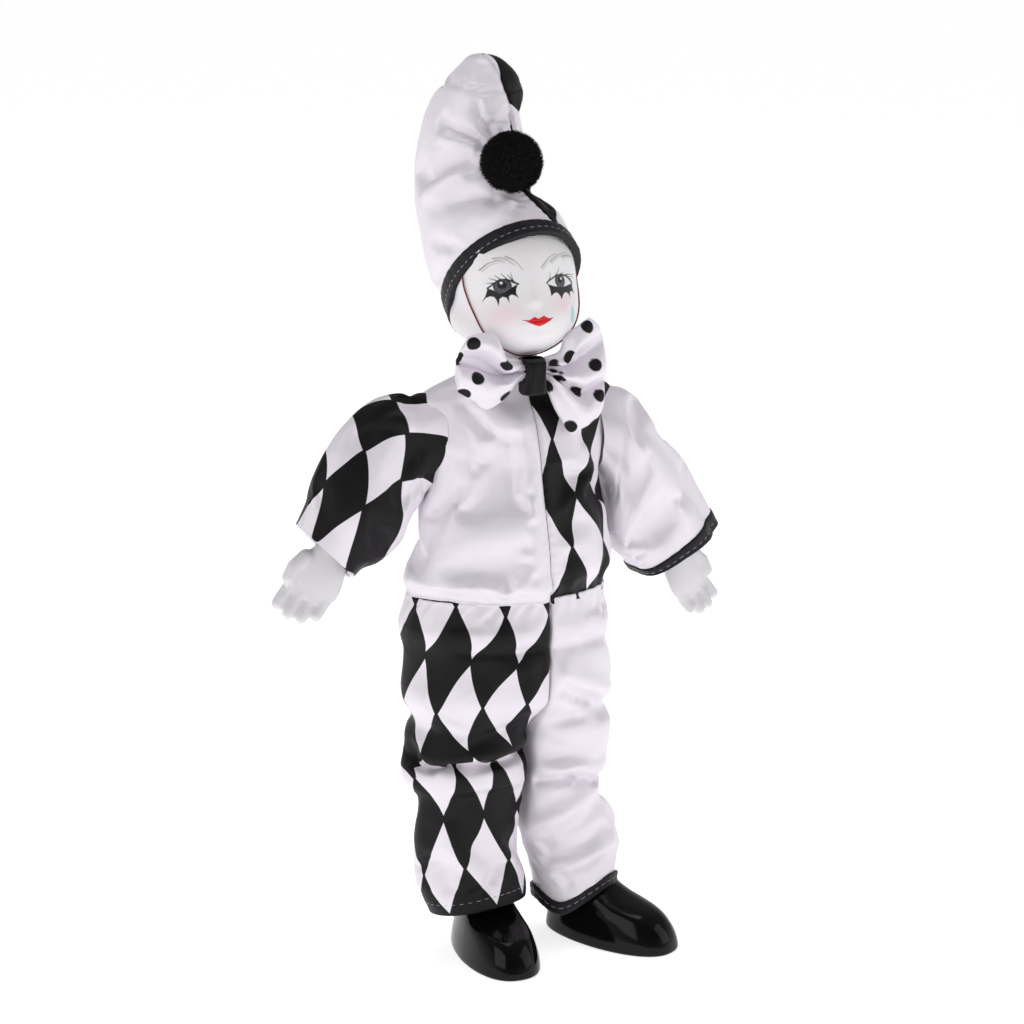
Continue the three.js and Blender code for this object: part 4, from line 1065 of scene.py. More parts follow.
# Head: white bisque porcelain, cast in a mould with its short neck and painted by hand: fine
# brown brows, grey eyes with long lashes, a black bat-wing shape under each eye, red lips and a
# blue tear on the left cheek. It stands in the collar of the tunic.
HEAD_CENTRE = np.array([-1, -1, 287])
HEAD_WIDE, HEAD_DEEP, HEAD_TALL = 52, 54, 61
CHIN_FORWARD = 10
NECK_RADIUS = 11
FACE_RELIEF = [
    # how far it stands out, x and z from the head's middle, half width, half height
    (1, -3.6, -8.2, 2.8, 2.8), (0.55, -3.4, -4.2, 2.6, 4.8),  # the nose and its bridge
    (0.2, -6, -9.3, 1.2, 1.2), (0.2, -1.2, -9.3, 1.2, 1.2),  # its sides
    (0.6, -2.6, -16.2, 6, 2.6), (-0.35, -2.6, -16.25, 6.6, 0.42),  # the lips and their parting
    (-0.2, -2.9, -12.4, 1.2, 2),  # the groove under the nose
    (0.5, -2.4, -24, 6, 4), (-0.25, -2.6, -19.6, 4.5, 1.4),  # the chin and the dip above it
    (-0.5, -14, 1.6, 6, 3.6), (-0.5, 10.4, 1, 6, 3.6),  # the hollows over the eyes
    (0.5, -14, -2.2, 5.4, 3.4), (0.5, 10.2, -3.2, 5.4, 3.4),  # the eyes
    (0.5, -16, -12, 6, 5), (0.5, 11, -12, 6, 5),  # the cheeks
]


def head_point(direction, grow=0.0):
    """A point of the head about its own middle, from a unit direction."""
    x, y, z = direction[..., 0], direction[..., 1], direction[..., 2]
    low = smooth_step(0, 1, -z)
    jaw = 1 + 0.05 * smooth_step(0.1, 0.7, -z) - 0.08 * smooth_step(0.7, 1, -z)
    nape = 1 + 0.2 * smooth_step(0.15, 0.6, -z) * smooth_step(-0.25, 0.3, y)
    wide = HEAD_WIDE / 2 * jaw * nape * (1 - 0.02 * smooth_step(0.3, 1, z))
    out_x = x * (wide + grow) + 2.2 * smooth_step(0.7, 1, -x)
    forward = mix(0.15, 1, smooth_step(0.45, -0.25, y))
    out_y = y * (HEAD_DEEP / 2 * np.where(y > 0, 1, 0.98) + grow) - CHIN_FORWARD * low * forward
    out_z = z * (HEAD_TALL / 2 + grow)
    front = smooth_step(0, 0.4, -y)

    relief = 0
    for rise, at_x, at_z, wide_x, wide_z in FACE_RELIEF:
        spread = ((out_x - at_x) / wide_x) ** 2 + ((out_z - at_z) / wide_z) ** 2
        relief = relief + rise * front * np.exp(-spread)
    return np.stack([out_x, out_y - relief, out_z], axis=-1)


def tilted(points):
    """Turns points about the head's middle to the way the head is set on the neck."""
    nod, side = rotation(0, math.radians(-6)), rotation(1, math.radians(-4))
    return points @ (nod @ side).T + HEAD_CENTRE


def dense(start, end, spots):
    """Values from start to end whose spacing follows the given (value, spacing) spots."""
    values, spacing = np.array(spots, float).T
    out = [start]
    while out[-1] < end:
        out.append(out[-1] + float(np.interp(out[-1], values, spacing)))
    out[-1] = end
    return np.array(out)


around_head = np.radians(
    dense(-180, 180, [(-180, 5), (-75, 2.5), (-66, 0.5), (62, 0.5), (72, 2.5), (180, 5)])
)
up_head = np.radians(
    dense(-89.5, 89.5, [(-90, 4), (-52, 1.8), (-46, 0.5), (24, 0.5), (30, 2), (90, 5)])
)
rise, round_ = np.meshgrid(up_head, around_head, indexing="ij")
direction = np.stack(
    [np.cos(rise) * np.sin(round_), -np.cos(rise) * np.cos(round_), np.sin(rise)], axis=-1
)
face = head_point(direction)
head = grid_piece("head_cast", tilted(face), wrap=True)

face_x = face[:, :-1, 0].ravel()
face_z = face[:, :-1, 2].ravel()
in_front = (face[:, :-1, 1] < 0).ravel()


def from_line(path):
    """Distance of each point of the face from a painted line, and how far along it that is."""
    best = np.full(face_x.shape, 1e3)
    along = np.zeros(face_x.shape)
    steps = len(path) - 1
    for k in range(steps):
        (ax, az), (bx, bz) = path[k], path[k + 1]
        dx, dz = bx - ax, bz - az
        share = ((face_x - ax) * dx + (face_z - az) * dz) / (dx * dx + dz * dz + 1e-12)
        share = np.clip(share, 0, 1)
        off = np.hypot(face_x - ax - share * dx, face_z - az - share * dz)
        nearer = off < best
        best = np.where(nearer, off, best)
        along = np.where(nearer, (k + share) / steps, along)
    return best, along


def brushed(path, start_wide, end_wide, soft=0.09):
    """A brush stroke that goes from one width to another."""
    off, along = from_line(path)
    half = mix(start_wide, end_wide, along) / 2
    return smooth_step(half + soft, half - soft, off)


def filled(outline, soft=0.09):
    """A painted shape inside an outline."""
    off, _ = from_line(list(outline) + [outline[0]])
    inside = np.zeros(face_x.shape, bool)
    for k in range(len(outline)):
        (ax, az), (bx, bz) = outline[k - 1], outline[k]
        crosses = (az > face_z) != (bz > face_z)
        inside ^= crosses & (face_x < (bx - ax) * (face_z - az) / (bz - az + 1e-12) + ax)
    return smooth_step(-soft, soft, np.where(inside, off, -off))


def curved(path):
    """A smoother path through the same points, with six steps from each to the next."""
    table = [(k, *spot) for k, spot in enumerate(path)]
    keys = np.linspace(0, len(path) - 1, (len(path) - 1) * 6 + 1)
    smooth = through([(-1, *path[0]), *table, (len(path), *path[-1])])
    return list(zip(*smooth(keys)))


RIGHT_EYE = {
    "under": [
        (-18.9, -1.5), (-17.6, -2.2), (-16.4, -2.9), (-15.4, -3.9), (-13.5, -3.2), (-11.6, -2.2),
        (-8.6, -1),
    ],
    "wing": [
        (-9.6, -2.8), (-9.8, -4.5), (-9.1, -6.4), (-10.3, -5.3), (-11.5, -4.8), (-12.5, -5.3),
        (-12.7, -7.8), (-13.4, -5.8), (-14.7, -5.3), (-15.7, -6), (-16.4, -8.9), (-16.7, -6.4),
        (-17.3, -5.1), (-18.4, -4.7), (-19.6, -5.2), (-20.7, -7), (-19.6, -4.3), (-19.2, -2.8),
    ],
    "lid": [
        (-18.9, -1.5), (-16.8, 0.1), (-15.4, 0.9), (-14.3, 1.4), (-12.2, 1.1), (-10.6, 0.2),
        (-8.6, -1),
    ],
    "iris": (-14.1, -1.1, 3.1),
    "pupil": (-14.3, -0.7, 1.6),
    "painted_glint": (-14.4, 0.1, 0.55),
    "lashes": [
        [(-16.5, 0.3), (-19.4, 0.3)], [(-15.4, 1), (-18.1, 2.4)], [(-14.3, 1.4), (-16.1, 3.3)],
        [(-12, 1.1), (-14.1, 3.8)], [(-10.5, 0.7), (-11.9, 3.2)],
        [(-9.6, -0.4), (-10.3, 1.1), (-10.7, 3.9)],
    ],
    "brow": [
        [(-20.1, 5.8), (-17.9, 7.9), (-15.9, 8.6), (-14.1, 8.8), (-12.2, 8.3)],
        [(-15.7, 9.8), (-14.2, 9.9), (-12.8, 9.8), (-11.3, 8.9), (-9, 6.7)],
        [(-11.6, 10.2), (-9.5, 9), (-8, 7.4), (-6.2, 4.5)],
    ],
}
LEFT_EYE = {
    "under": [(3.1, -2), (4.3, -2.9), (6.5, -3.8), (10.8, -4.5), (15.2, -4.3), (17, -3.7)],
    "wing": [
        (16.7, -5.7), (17.7, -8.5), (16.1, -7), (14.4, -7.3), (14.3, -9.5), (13.6, -8),
        (12.4, -7), (11.1, -7), (10.1, -7.9), (9.1, -9.4), (8.7, -8), (7.8, -6.8),
        (6.8, -6.3), (5.5, -6.6), (4.4, -7.5), (4.2, -4.8), (3.8, -3.3),
    ],
    "lid": [
        (3.1, -2), (5, -1), (7.2, -0.2), (10.2, 0.3), (13.3, -0.5), (15.2, -2),
        (17, -3.7),
    ],
    "iris": (9.8, -2.1, 2.6),
    "pupil": (9.9, -1.7, 1.2),
    "painted_glint": (10.5, -1.3, 0.5),
    "lashes": [
        [(4.2, -1.4), (5.1, 0.1), (5.4, 1.7)], [(7.5, -0.1), (9.4, 1.5), (10.5, 3.3)],
        [(8.7, 0.1), (10.2, 0.4), (12.3, 1)], [(12.3, -0.3), (15.4, -0.3), (19.2, -1)],
        [(13.3, -0.7), (18.4, -1.9)], [(14.3, -1.4), (16.9, -2.5)],
    ],
    "brow": [
        [(1.7, 4.2), (4.3, 6.5), (7.2, 8.1), (10.2, 8.8)],
        [(6.4, 5.9), (9, 7.3), (12.7, 8.3), (16.6, 8.1)],
        [(12.7, 7.2), (17.6, 7), (19.8, 5.3), (21.7, 3)],
    ],
}
LIPS = [
    (-8.9, -15.2), (-7.1, -15.6), (-5.8, -15.1), (-4.3, -14.4), (-2.8, -15.3), (-0.4, -14.4),
    (0.9, -15.3), (1.6, -15.9), (3.7, -15.8), (2.4, -16.7), (0.9, -17.3), (-0.8, -18),
    (-2.7, -18.4), (-4.3, -17.8), (-5.9, -16.9), (-7.1, -16.1),
]
PAINTS = ("ink", "grey", "brow", "red", "edge", "tear", "blush")
paint = {name: np.zeros(face_x.shape) for name in PAINTS}


def put(name, mask):
    paint[name] = np.maximum(paint[name], mask)


def disc(x, z, radius):
    return smooth_step(radius + 0.1, radius - 0.1, np.hypot(face_x - x, face_z - z))


def paint_mask(piece, name, mask):
    """Keeps how much of a paint each point of a piece carries."""
    attribute = piece.data.attributes.new(name, "FLOAT", "POINT")
    attribute.data.foreach_set("value", mask.astype(np.float32))


for eye in (RIGHT_EYE, LEFT_EYE):
    put("ink", filled(eye["under"] + eye["wing"]))
    put("ink", brushed(curved(eye["lid"]), 0.55, 0.75))
    opening = filled(curved(eye["lid"]) + eye["under"][::-1])
    x, z, radius = eye["iris"]
    off = np.hypot(face_x - x, face_z - z)
    rays = np.sin(13 * np.arctan2(face_z - z, face_x - x) + 1.2 * np.sin(5 * off))
    rim = smooth_step(radius * 0.7, radius * 0.95, off)
    iris = disc(*eye["iris"]) * opening
    put("grey", iris)
    put("ink", iris * np.maximum(0.8 * smooth_step(-0.2, 0.6, rays), 0.9 * rim))
    put("ink", disc(*eye["pupil"]) * opening)
    # A small disc in each pupil is left bare of paint, so the white bisque shows there as a painted
    # highlight.
    painted_glint = disc(*eye["painted_glint"])
    paint["ink"] *= 1 - painted_glint
    paint["grey"] *= 1 - painted_glint
    for lash in eye["lashes"]:
        put("ink", brushed(curved(lash), 0.46, 0.12))
    for stroke in eye["brow"]:
        put("brow", brushed(curved(stroke), 0.4, 0.15, 0.22))
        under = [(x + 0.5, z - 0.7) for x, z in stroke]
        put("brow", 0.5 * brushed(curved(under), 0.4, 0.1, 0.2))
put("red", filled(LIPS, 0.14))
put("edge", brushed([(-8.9, -15.2), (-7.4, -15.5), (-6.6, -15.9)], 0.25, 0.5))
put("edge", brushed([(1.0, -15.7), (2.2, -16.0), (3.7, -15.7)], 0.5, 0.25))
parting = [(-7, -16), (-4.3, -16.3), (-2.6, -16.5), (-0.8, -16.3), (1.4, -16)]
put("edge", 0.5 * brushed(parting, 0.3, 0.3))
TEAR = [
    (14.7, -12), (13.9, -13.6), (13.2, -15.4), (13.2, -17.4), (13.9, -19.2), (14.8, -19.9),
    (15.8, -19), (16.3, -17.2), (16.1, -15.2), (15.3, -13.4),
]
put("tear", filled(TEAR, 0.2))
for x, z, wide in ((-15.3, -12.2, 6.5), (9.6, -11.6, 6.0)):
    put("blush", np.exp(-(((face_x - x) / wide) ** 2) - ((face_z - z) / (wide * 0.75)) ** 2))
for name, mask in paint.items():
    paint_mask(head, name, mask * in_front)

# The painted head: bisque as on the hands, with matt china paints fired on. The reds and the
# black are dense, the blush is dusted on, and the tear is a thin blue wash.
painted_bisque = two_toned(
    "painted_bisque_porcelain", "TexNoise", BISQUE_CLOUDS, ("#f2eff0", "#ebe9ed"),
    {
        "Roughness": 0.4, "IOR": 1.48, "Specular IOR Level": 0.35, "Subsurface Weight": 0.1,
        "Subsurface Radius": (0.0012, 0.001, 0.0009), "Subsurface Scale": 1.0,
    },
    relief=BISQUE_GRAIN,
    paints=(
        ("blush", "#f0b3c2", 0.3), ("brow", "#5d555c", 0.85), ("grey", "#62646c", 1.0),
        ("tear", "#8fd0dc", 0.75), ("red", "#dd0f17", 1.0), ("edge", "#7c0a18", 0.9),
        ("ink", "#131117", 1.0),
    ),
)
dress(head, "bisque_porcelain", painted_bisque, "head")

neck_heights = np.array([241, 244, 248, 252, 256, 262, 268, 272])
height, turn = np.meshgrid(neck_heights, np.linspace(0, 2 * np.pi, 73), indexing="ij")
flare = NECK_RADIUS + 1.2 * smooth_step(250, 241, height)
neck = grid_piece(
    "head_neck_cast",
    np.stack([-1 + flare * np.cos(turn), flare * np.sin(turn), height], axis=2),
    wrap=True,
)
dress(neck, "bisque_porcelain", bisque)


# Cap: a tall cone of two satin panels over a soft stuffing, seamed from over the left brow to
# its tip, and drawn in behind the pompom. A black bias binding edges its brim.
HAT = [
    # share of the length, centre x y z, half width, half depth, how far the section is tipped
    (0, 1.2, 0.3, 282.8, 26.4, 35.6, 45), (0.15, -0.7, 6, 291.5, 26.7, 33, 43),
    (0.32, -2.5, 14, 305, 25.9, 29.5, 38), (0.5, -4.4, 21.5, 320, 23.8, 26, 28),
    (0.67, -4.8, 26.5, 335.5, 21, 23, 16), (0.82, -3.6, 27, 350, 18.6, 20, 4),
    (0.92, -1.6, 25.5, 361, 15.8, 15.5, -4), (0.98, -0.9, 23.5, 370, 10, 9.4, -8),
    (0.994, -1.6, 22.8, 373.4, 5.2, 5.2, -10), (1, -2, 22.5, 374.5, 0.3, 0.3, -10),
]
# Folds with shares of the cap's length for heights and widths.
HAT_FOLDS = [
    (185, 0.53, 258, 0.62, 0.05, -1.6), (190, 0.47, 256, 0.52, 0.04, 1.5),
    (208, 0.79, 257, 0.67, 0.04, -1.7), (212, 0.72, 250, 0.66, 0.035, 1.4),
    (244, 0.87, 266, 0.72, 0.03, -1.4), (266, 0.77, 294, 0.81, 0.03, -1.2),
    (196, 0.375, 257, 0.3, 0.05, -1), (280, 0.6, 320, 0.72, 0.04, 1.2),
    (298, 0.48, 356, 0.43, 0.08, -6), (302, 0.37, 358, 0.27, 0.09, -6.5),
]
HAT_LONG = 112
HAT_BINDING_SHARE = 0.116
POMPOM_CENTRE = np.array([-3, -6, 333.5])
POMPOM_ACROSS = 24.8
hat_form = through(HAT)


def hat_point(turn, share, proud):
    x, y, z, wide, deep, tip = hat_form(share)
    tip = np.radians(tip)
    raised = proud + lift(HAT_FOLDS, np.degrees(turn) % 360, share, 0.35)
    across = (wide + raised) * np.cos(turn)
    into = (deep + raised) * np.sin(turn)
    return np.stack([x + across, y + into * np.cos(tip), z - into * np.sin(tip)], axis=-1)


HAT_FRONT_SEAM = [
    # share of the length, degrees round the cap
    (0, 303), (0.127, 292.5), (0.2, 285.5), (0.3, 276), (0.45, 283), (0.6, 292), (0.75, 296),
    (0.82, 296), (0.9, 287.5), (0.967, 276), (1, 272),
]
HAT_PRINT = [
    (1, 13, 9.5, -22), (18, 37, 19, 0), (-3, 40, 0, 0), (12, 80, 9.5, 22),
    (-2, 101, 0, 44), (5, 112, 9.5, 62), (20, 105, 19, 48),
    (60, 20, 66, -16), (60, 60, 64, 20), (60, 100, 64, 56), (85, 20, 91, -16), (85, 60, 89, 20),
]
front_of_hat = through(HAT_FRONT_SEAM)


def hat_seams(share):
    """Turns where the seams run up the cap, in front and behind."""
    normal_x, normal_z = math.cos(math.radians(9)), math.sin(math.radians(9))
    x, _, z, wide, deep, tip = hat_form(np.minimum(share, 0.99))
    a = normal_x * wide
    b = -normal_z * deep * np.sin(np.radians(tip))
    c = normal_x * (8 - x) + normal_z * (308 - z)
    (front,) = front_of_hat(share)
    behind = np.arctan2(b, a) + np.arccos(np.clip(c / np.hypot(a, b), -1, 1))
    behind -= np.radians(55) * smooth_step(0.85, 1, share)
    return np.radians(front) - 2 * np.pi, behind


def hat_panel(name, side, seed):
    start = HAT_BINDING_SHARE * 0.7
    shares = np.concatenate([np.linspace(start, 0.9, 121), np.linspace(0.903, 1, 40)])
    share, column = np.meshgrid(shares, np.linspace(0, 1, HALF_COLUMNS), indexing="ij")
    front, behind = hat_seams(share)
    turn = half_turns(side, front, behind, column)
    plain = hat_point(turn, share, 0)
    around, from_front, to_seam = half_lengths(side, plain)
    up = share * HAT_LONG
    creased = rumple(around, up, seed, 16) * smooth_step(0, 5, to_seam)
    pucker, groove = seam_relief(up, to_seam, seed, 0.15, 1.6, 2.4)
    # creases that run in under the pompom
    away = plain - POMPOM_CENTRE
    reach = np.linalg.norm(away, axis=2)
    angle = np.arctan2(away[..., 2], away[..., 0])
    rays = np.sin(9 * angle + 1.5 * unevenness(around, up, 9, seed + 6))
    rays *= hump(reach - 11, 11) * (away[..., 1] > -14)
    points = hat_point(turn, share, creased + pucker + groove + rays)
    hold = np.maximum(1 - smooth_step(1.5, 13, to_seam), smooth_step(0.24, 0.1, share))
    hold = np.maximum(hold, smooth_step(0.9, 0.98, share))
    points = settle(points, np.maximum(hold, smooth_step(18, 12, reach)))
    cloth = np.stack([from_front, up], axis=2)
    layers = {"print": fitted(cloth, HAT_PRINT)} if side > 0 else {}
    return grid_piece(name, points, cloth=cloth, **layers)


hat_white = hat_panel("hat_white_half_satin", -1, 71)
dress(hat_white, "white_satin", white_satin, "hat_white_half")
hat_printed = hat_panel("hat_diamond_half_satin", 1, 83)
dress(hat_printed, "diamond_satin", diamond_satin, "hat_diamond_half")


def brim_point(turn, share, proud):
    turn, share, proud = np.broadcast_arrays(turn, share, proud)
    return hat_point(turn, share * HAT_BINDING_SHARE, np.where(proud < -0.5, proud * 1.6, proud))


brim = band("hat_binding_satin", brim_point, BINDING_WIDE, 260)
dress(brim, "black_binding", black_binding, "hat_binding")
brim_thread = ring_stitches(
    "hat_binding_stitches", brim_point, STITCH_SHARE, 0.5, long=2.1, gap=1.0
)
dress(brim_thread, "black_binding", white_thread)


# Pompom: a dense ball of black acrylic yarn, tied in the middle, clipped round and sewn to the
# front seam. The yarn is matt and nearly black, and it is painted paler in random patches, a
# painted highlight for where its cut ends catch the light.
yarn = two_toned(
    "black_clipped_acrylic_yarn", "TexNoise", {"Scale": 420.0, "Detail": 2.0},
    ("#0e0d0f", "#1c1b1e"),
    {
        "Roughness": 0.9, "Specular IOR Level": 0.1, "Sheen Weight": 0.04, "Sheen Roughness": 0.5,
    },
)
dice = np.random.default_rng(5)
FIBRES = 11000
directions = unit(dice.normal(size=(FIBRES, 3)))
ends = POMPOM_ACROSS / 2 * dice.uniform(0.9, 1.05, FIBRES)[:, None]
leaning = unit(directions + 0.16 * dice.normal(size=(FIBRES, 3)))
knots = [directions * 8.5, (directions * 0.5 + leaning * 0.5) * ends * 0.9, leaning * ends]
aside = unit(np.cross(directions, dice.normal(size=(FIBRES, 3))))
other = np.cross(directions, aside)
rings = []
for knot, fat in zip(knots, (0.24, 0.2, 0.09)):
    for turn in (0, 2 * np.pi / 3, 4 * np.pi / 3):
        rings.append(knot + fat * (math.cos(turn) * aside + math.sin(turn) * other))
fibre_points = np.stack(rings, axis=1).reshape(-1, 3) + POMPOM_CENTRE
one = [(0, 1, 4, 3), (1, 2, 5, 4), (2, 0, 3, 5), (3, 4, 7, 6), (4, 5, 8, 7), (5, 3, 6, 8)]
fibre_faces = (np.array(one)[None] + 9 * np.arange(FIBRES)[:, None, None]).reshape(-1, 4)
pompom = mesh_piece("pompom_yarn_tufts", fibre_points, fibre_faces)
dress(pompom, "pompom_yarn", yarn, "pompom")
rise = np.linspace(-np.pi / 2, np.pi / 2, 40)
rise, turn = np.meshgrid(rise, np.linspace(0, 2 * np.pi, 61), indexing="ij")
core_reach = 10.6 + 0.5 * unevenness(turn * 20, rise * 20, 3, 8)
core = np.stack([np.cos(rise) * np.cos(turn), np.cos(rise) * np.sin(turn), np.sin(rise)], axis=2)
core = core * core_reach[..., None] + POMPOM_CENTRE
pompom_core = grid_piece("pompom_yarn_core", core, wrap=True)
dress(pompom_core, "pompom_yarn", yarn)


# Chin elastic: a thin round elastic wound with dark red thread. It is sewn inside the brim at
# both sides and held against the skin of the head all the way, under the chin.
# The fine slanted ridges of the winding are painted as dark and light stripes in its colour, a
# painted shade with no relief, and it has no shine.
elastic_material = two_toned(
    "dark_red_covered_elastic", "TexWave", {"Scale": 700.0, "Distortion": 0.5},
    ("#5a1418", "#8d2a2e"), {"Roughness": 0.6}, bands_direction="DIAGONAL",
)
# degrees from under the chin, how far forward the elastic goes on a unit ball
ELASTIC_FORWARD = [(0, -0.08), (40, -0.24), (62, -0.3), (80, -0.27), (97, -0.23)]
ELASTIC_RADIUS = 0.33
ELASTIC_CLEAR = 0.6  # from the skin to the middle of the elastic
degrees = np.linspace(-97, 97, 140)
(forward,) = through(ELASTIC_FORWARD)(abs(degrees))
degrees = np.radians(degrees)
down = unit(np.stack([np.sin(degrees), forward, -np.cos(degrees)], axis=1))
route = tilted(head_point(down, ELASTIC_CLEAR))
ahead = unit(np.gradient(route, axis=0))
aside = unit(np.cross(ahead, (0, 1, 0)))
other = np.cross(ahead, aside)
turn = np.linspace(0, 2 * np.pi, 13)[None, :, None]
round_it = np.cos(turn) * aside[:, None] + np.sin(turn) * other[:, None]
elastic = grid_piece("chin_elastic_cord", route[:, None] + ELASTIC_RADIUS * round_it, wrap=True)
dress(elastic, "red_elastic", elastic_material, "chin_elastic")


# Bow: two wide loops of white satin printed with black spots, gathered by a knot of black satin
# and sewn to the collar. Each wing is one flattened loop, pleated where the knot grips it, so it
# fans out in rolls with deep valleys between them.
KNOT_SET = np.array([-1.3, -21.8, 250.3])
KNOT_HALF = (4.5, 6.6, 7.3)
SPOT_ACROSS = 5.6
SPOT_APART = 13  # on the backs of the wings
# Each wing: its top, its bottom and its outer edge, upwards, as x and z.
RIGHT_WING = {
    "top": [
        (-4, 256), (-8, 257.6), (-13.8, 259.4), (-16.2, 264), (-19, 268.6), (-24.1, 269.4),
        (-30.2, 268.4),
    ],
    "bottom": [
        (-4, 249), (-8, 247.6), (-11.6, 243.8), (-16, 240.4), (-21.6, 238.3), (-28, 242.6),
        (-33.8, 246.2),
    ],
    "outer": [(-33.8, 246.2), (-35, 251.5), (-34.8, 257), (-33.4, 263), (-30.2, 268.4)],
    "size": (30, 29),
    "rolls": [
        # along and up on the flat wing, twice, then width and rise
        (3, 20, 17, 25, 4.6, 4), (3, 10, 29, 8.5, 5.4, 4.2), (4, 15, 31, 15.6, 1.7, -5.2),
        (14, 16.5, 31, 19, 4, -3.4), (24, 25, 30, 24, 4, 1.6),
    ],
    "spots": [
        (-28.8, 265.7), (-34.3, 260), (-15.6, 256), (-27.6, 252.3), (-14, 243.7),
        (-31.9, 245.7),
    ],
}
LEFT_WING = {
    "top": [(1, 256), (4, 257.2), (9.9, 259.6), (12.1, 265.3), (18.2, 269.9), (22.7, 272.6)],
    "bottom": [
        (1, 249), (3.5, 247.5), (6, 242.7), (8.6, 236.4), (11.8, 230.9), (15.8, 225.6),
        (19.4, 226.8), (26.1, 229.6),
    ],
    "outer": [
        (26.1, 229.6), (29.3, 234.3), (30.4, 243.7), (30.4, 253.9), (29.5, 261.4), (26.8, 269),
        (22.7, 272.6),
    ],
    "size": (28, 41),
    "rolls": [
        (3, 31, 20, 37, 4.6, 4), (3, 22, 28, 22, 4.2, 3.8), (4, 13, 22, 8, 5.6, 4.2),
        (3, 25.5, 16, 29, 2.4, -4.8), (14, 29, 28, 30.5, 3.6, -4), (4, 18, 26, 15, 2.4, -4.2),
    ],
    "spots": [
        (20.8, 269.3), (24.3, 253.5), (27.2, 240.9), (17.6, 242.2), (12, 258), (7.2, 254.1),
        (9.2, 249.1), (5, 245.8), (14.7, 228.6), (25.5, 229.2),
    ],
}


def spots(tree):
    """The black spots painted on the wing's own surface."""
    return add(tree, "Attribute", attribute_name="spots").outputs["Fac"]


spotted_satin = satin("spotted_printed_satin", SATIN_WHITE, spots, "#161417")


def spot(off):
    return smooth_step(SPOT_ACROSS / 2 + 0.15, SPOT_ACROSS / 2 - 0.15, off)


def along_curve(path, share):
    length = np.concatenate([[0], np.cumsum(np.hypot(*np.diff(np.array(path), axis=0).T))])
    x, z = through(np.c_[length / length[-1], path])(share)
    return np.stack([x, z], axis=-1)


def wing(name, side, parts, node, seed):
    """The front of the wing and then its back, as one sheet folded at the top, the outer edge
    and the bottom."""
    share = 1 - (1 - np.linspace(0, 1, 111)) ** 1.8
    up = (1 - np.cos(np.linspace(0, np.pi, 161))) / 2
    s, v = np.meshgrid(share, np.concatenate([up, up[-2::-2]]), indexing="ij")
    front = (np.arange(s.shape[1]) < 161)[None, :]
    top, bottom = along_curve(parts["top"], s), along_curve(parts["bottom"], s)
    outer, inner = along_curve(parts["outer"], v), mix(bottom[:1, :1], top[:1, :1], v[..., None])
    s3, v3 = s[..., None], v[..., None]
    knot_side = mix(bottom[:1, :1], top[:1, :1], v3)
    corners = mix(knot_side, mix(bottom[-1:, :1], top[-1:, :1], v3), s3)
    flat = mix(bottom, top, v3) + mix(inner, outer, s3) - corners
    long, tall = parts["size"]
    edge = np.sqrt(np.clip(1 - np.abs(2 * v - 1) ** 5, 0, 1) * np.clip(1 - s**8, 0, 1))
    edge = edge * mix(0.45, 1, smooth_step(0, 0.3, s))
    bent = v + 0.02 * unevenness(s * long, v * tall, 7, seed)
    rolls = lift(parts["rolls"], s * long, bent * tall, 57.3)
    pleats = 0.8 * (1 - s) ** 2 * np.cos(2 * np.pi * 5 * v)
    creased = rumple(s * long, v * tall, seed + 1, 7)
    depth = np.where(front, 2.6 + rolls + pleats + creased, -1.2 - 0.4 * pleats - 0.3 * creased)
    middle = -20.8 - 1.6 * s - 1.8 * smooth_step(0.45, 0.85, v) * smooth_step(0.1, 0.4, s)
    points = np.stack([flat[..., 0], middle - depth * edge, flat[..., 1]], axis=-1)
    cloth = np.stack([s * long * side, v * tall + 60.0 * ~front], axis=-1)
    ink = np.zeros(s.shape)
    for x, z in parts["spots"]:
        near = np.where(front, np.hypot(points[..., 0] - x, points[..., 2] - z), 1e3)
        centre = points[np.unravel_index(near.argmin(), near.shape)]
        off = np.linalg.norm(points - centre, axis=-1)
        ink = np.maximum(ink, spot(off))
    for row in range(4):
        for column in range(3):
            off_x = s * long - 6 - SPOT_APART * column
            off_z = v * tall - 3 - SPOT_APART * row - SPOT_APART / 2 * (column % 2)
            behind = ~front * smooth_step(2.6, 3.2, edge * 5)
            ink = np.maximum(ink, spot(np.hypot(off_x, off_z)) * behind)
    if side > 0:
        points, cloth, ink = points[::-1], cloth[::-1], ink[::-1]
    piece = grid_piece(name, points, wrap=True, cloth=cloth)
    paint_mask(piece, "spots", ink[:, :-1].ravel())
    dress(piece, "spotted_satin", spotted_satin, node)
    return piece


bow_right = wing("bow_right_wing_satin", -1, RIGHT_WING, "bow_right_wing", 91)
bow_left = wing("bow_left_wing_satin", 1, LEFT_WING, "bow_left_wing", 97)

# The knot is the same satin dyed black, pressed flat and folded round the wings.
black_satin = satin("black_polyester_satin", "#151316")
share, turn = np.meshgrid(np.linspace(-1, 1, 60), np.linspace(0, 2 * np.pi, 121), indexing="ij")
full = np.clip(1 - 0.04 * share**2, 0.3, 1)
full = full * np.sqrt(np.clip(1 - np.abs(share) ** 14, 0.05, 1))
tucks = 0.12 * np.sin(5 * turn + 1.2 * share) + 0.1 * np.sin(9 * turn - 2 * share)
square_x = np.sign(np.cos(turn)) * np.abs(np.cos(turn)) ** 0.5
square_y = np.sign(np.sin(turn)) * np.abs(np.sin(turn)) ** 0.6
knot_points = KNOT_SET + np.stack(
    [
        (KNOT_HALF[0] + tucks - 0.3 * (1 - share**2)) * square_x,
        (KNOT_HALF[1] + tucks) * full * square_y,
        KNOT_HALF[2] * share + 0.3 * np.sin(turn),
    ],
    axis=2,
)
knot_cloth = np.stack([turn * 5, share * 8], axis=2)
knot = grid_piece("bow_knot_satin", knot_points, wrap=True, cloth=knot_cloth)
dress(knot, "black_binding", black_satin, "bow_knot")


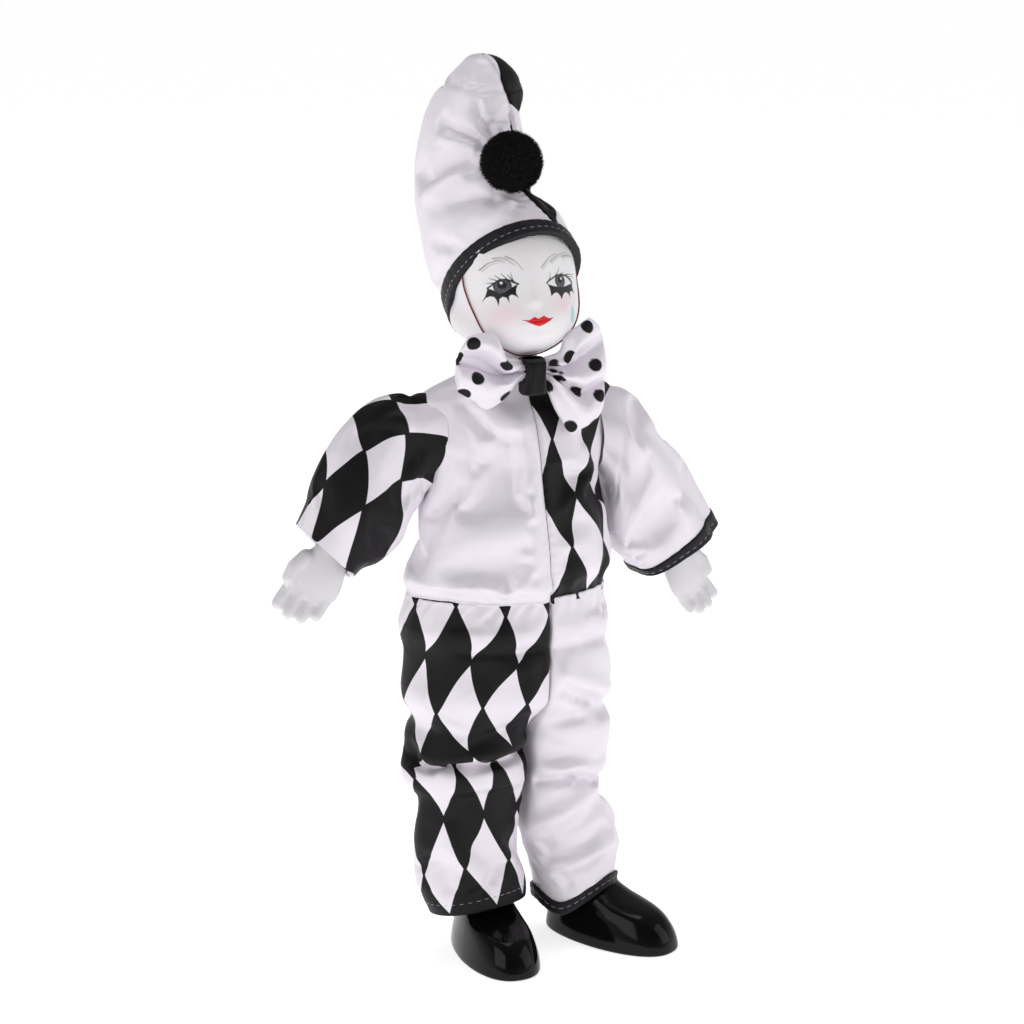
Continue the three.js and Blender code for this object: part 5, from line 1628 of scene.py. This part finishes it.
# The set: a pale floor that runs out of sight, a white surround and three large soft lights.
# The floor is matt white paper with a faint fibre, bright enough to have no edge.
floor_material = two_toned(
    "matt_white_paper", "TexNoise", {"Scale": 30.0, "Detail": 2.0}, ("#fbfbfb", "#f8f8f8"),
    {
        "Roughness": 0.9, "Specular IOR Level": 0.1, "Emission Color": linear("#ffffff"),
        "Emission Strength": 0.74,
    },
)
floor_mesh = bpy.data.meshes.new("floor")
floor_corners = [(-30, -30, 0), (30, -30, 0), (30, 30, 0), (-30, 30, 0)]
floor_mesh.from_pydata(floor_corners, [], [(0, 1, 2, 3)])
floor = linked("floor", floor_mesh)
floor_mesh.materials.append(floor_material)

world = bpy.data.worlds.new("white_wall_dark_ceiling")
world.use_nodes = True
tree = world.node_tree
looking = add(tree, "TexCoord")
axes = add(tree, "SeparateXYZ", {0: looking.outputs["Generated"]})
wall = add(tree, "MapRange", {0: axes.outputs[2], 1: 0.02, 2: 0.5, 3: 1.0, 4: 0.25})
front = add(tree, "VectorMath", {
    0: looking.outputs["Generated"], 1: (0.42, 0.91, 0),
}, operation="DOT_PRODUCT")
dim = add(tree, "MapRange", {0: front, 1: -0.9, 2: -0.1, 3: 0.22, 4: 1.0})
light = add(tree, "Math", {0: wall, 1: dim}, operation="MULTIPLY")
tree.nodes["Background"].inputs["Color"].default_value = linear("#ffffff")
tree.links.new(light.outputs[0], tree.nodes["Background"].inputs["Strength"])
bpy.context.scene.world = world
bpy.context.scene.view_settings.view_transform = "Standard"


def soft_light(name, place, aim, size, watts):
    lamp = bpy.data.lights.new(name, "AREA")
    lamp.shape = "RECTANGLE"
    lamp.size, lamp.size_y = size
    lamp.energy = watts
    made = linked(name, lamp)
    made.location = place
    made.rotation_euler = (Vector(aim) - Vector(place)).to_track_quat("-Z", "Y").to_euler()


soft_light("softbox_left", (-1.5, -0.7, 0.95), (0, 0, 0.18), (1.3, 1.3), 8.2)
soft_light("softbox_right", (1.2, -0.9, 0.8), (0, 0, 0.15), (1.2, 1.2), 4.8)
soft_light("overhead", (0.1, 0.1, 1.5), (0, 0, 0), (0.7, 0.7), 3.5)
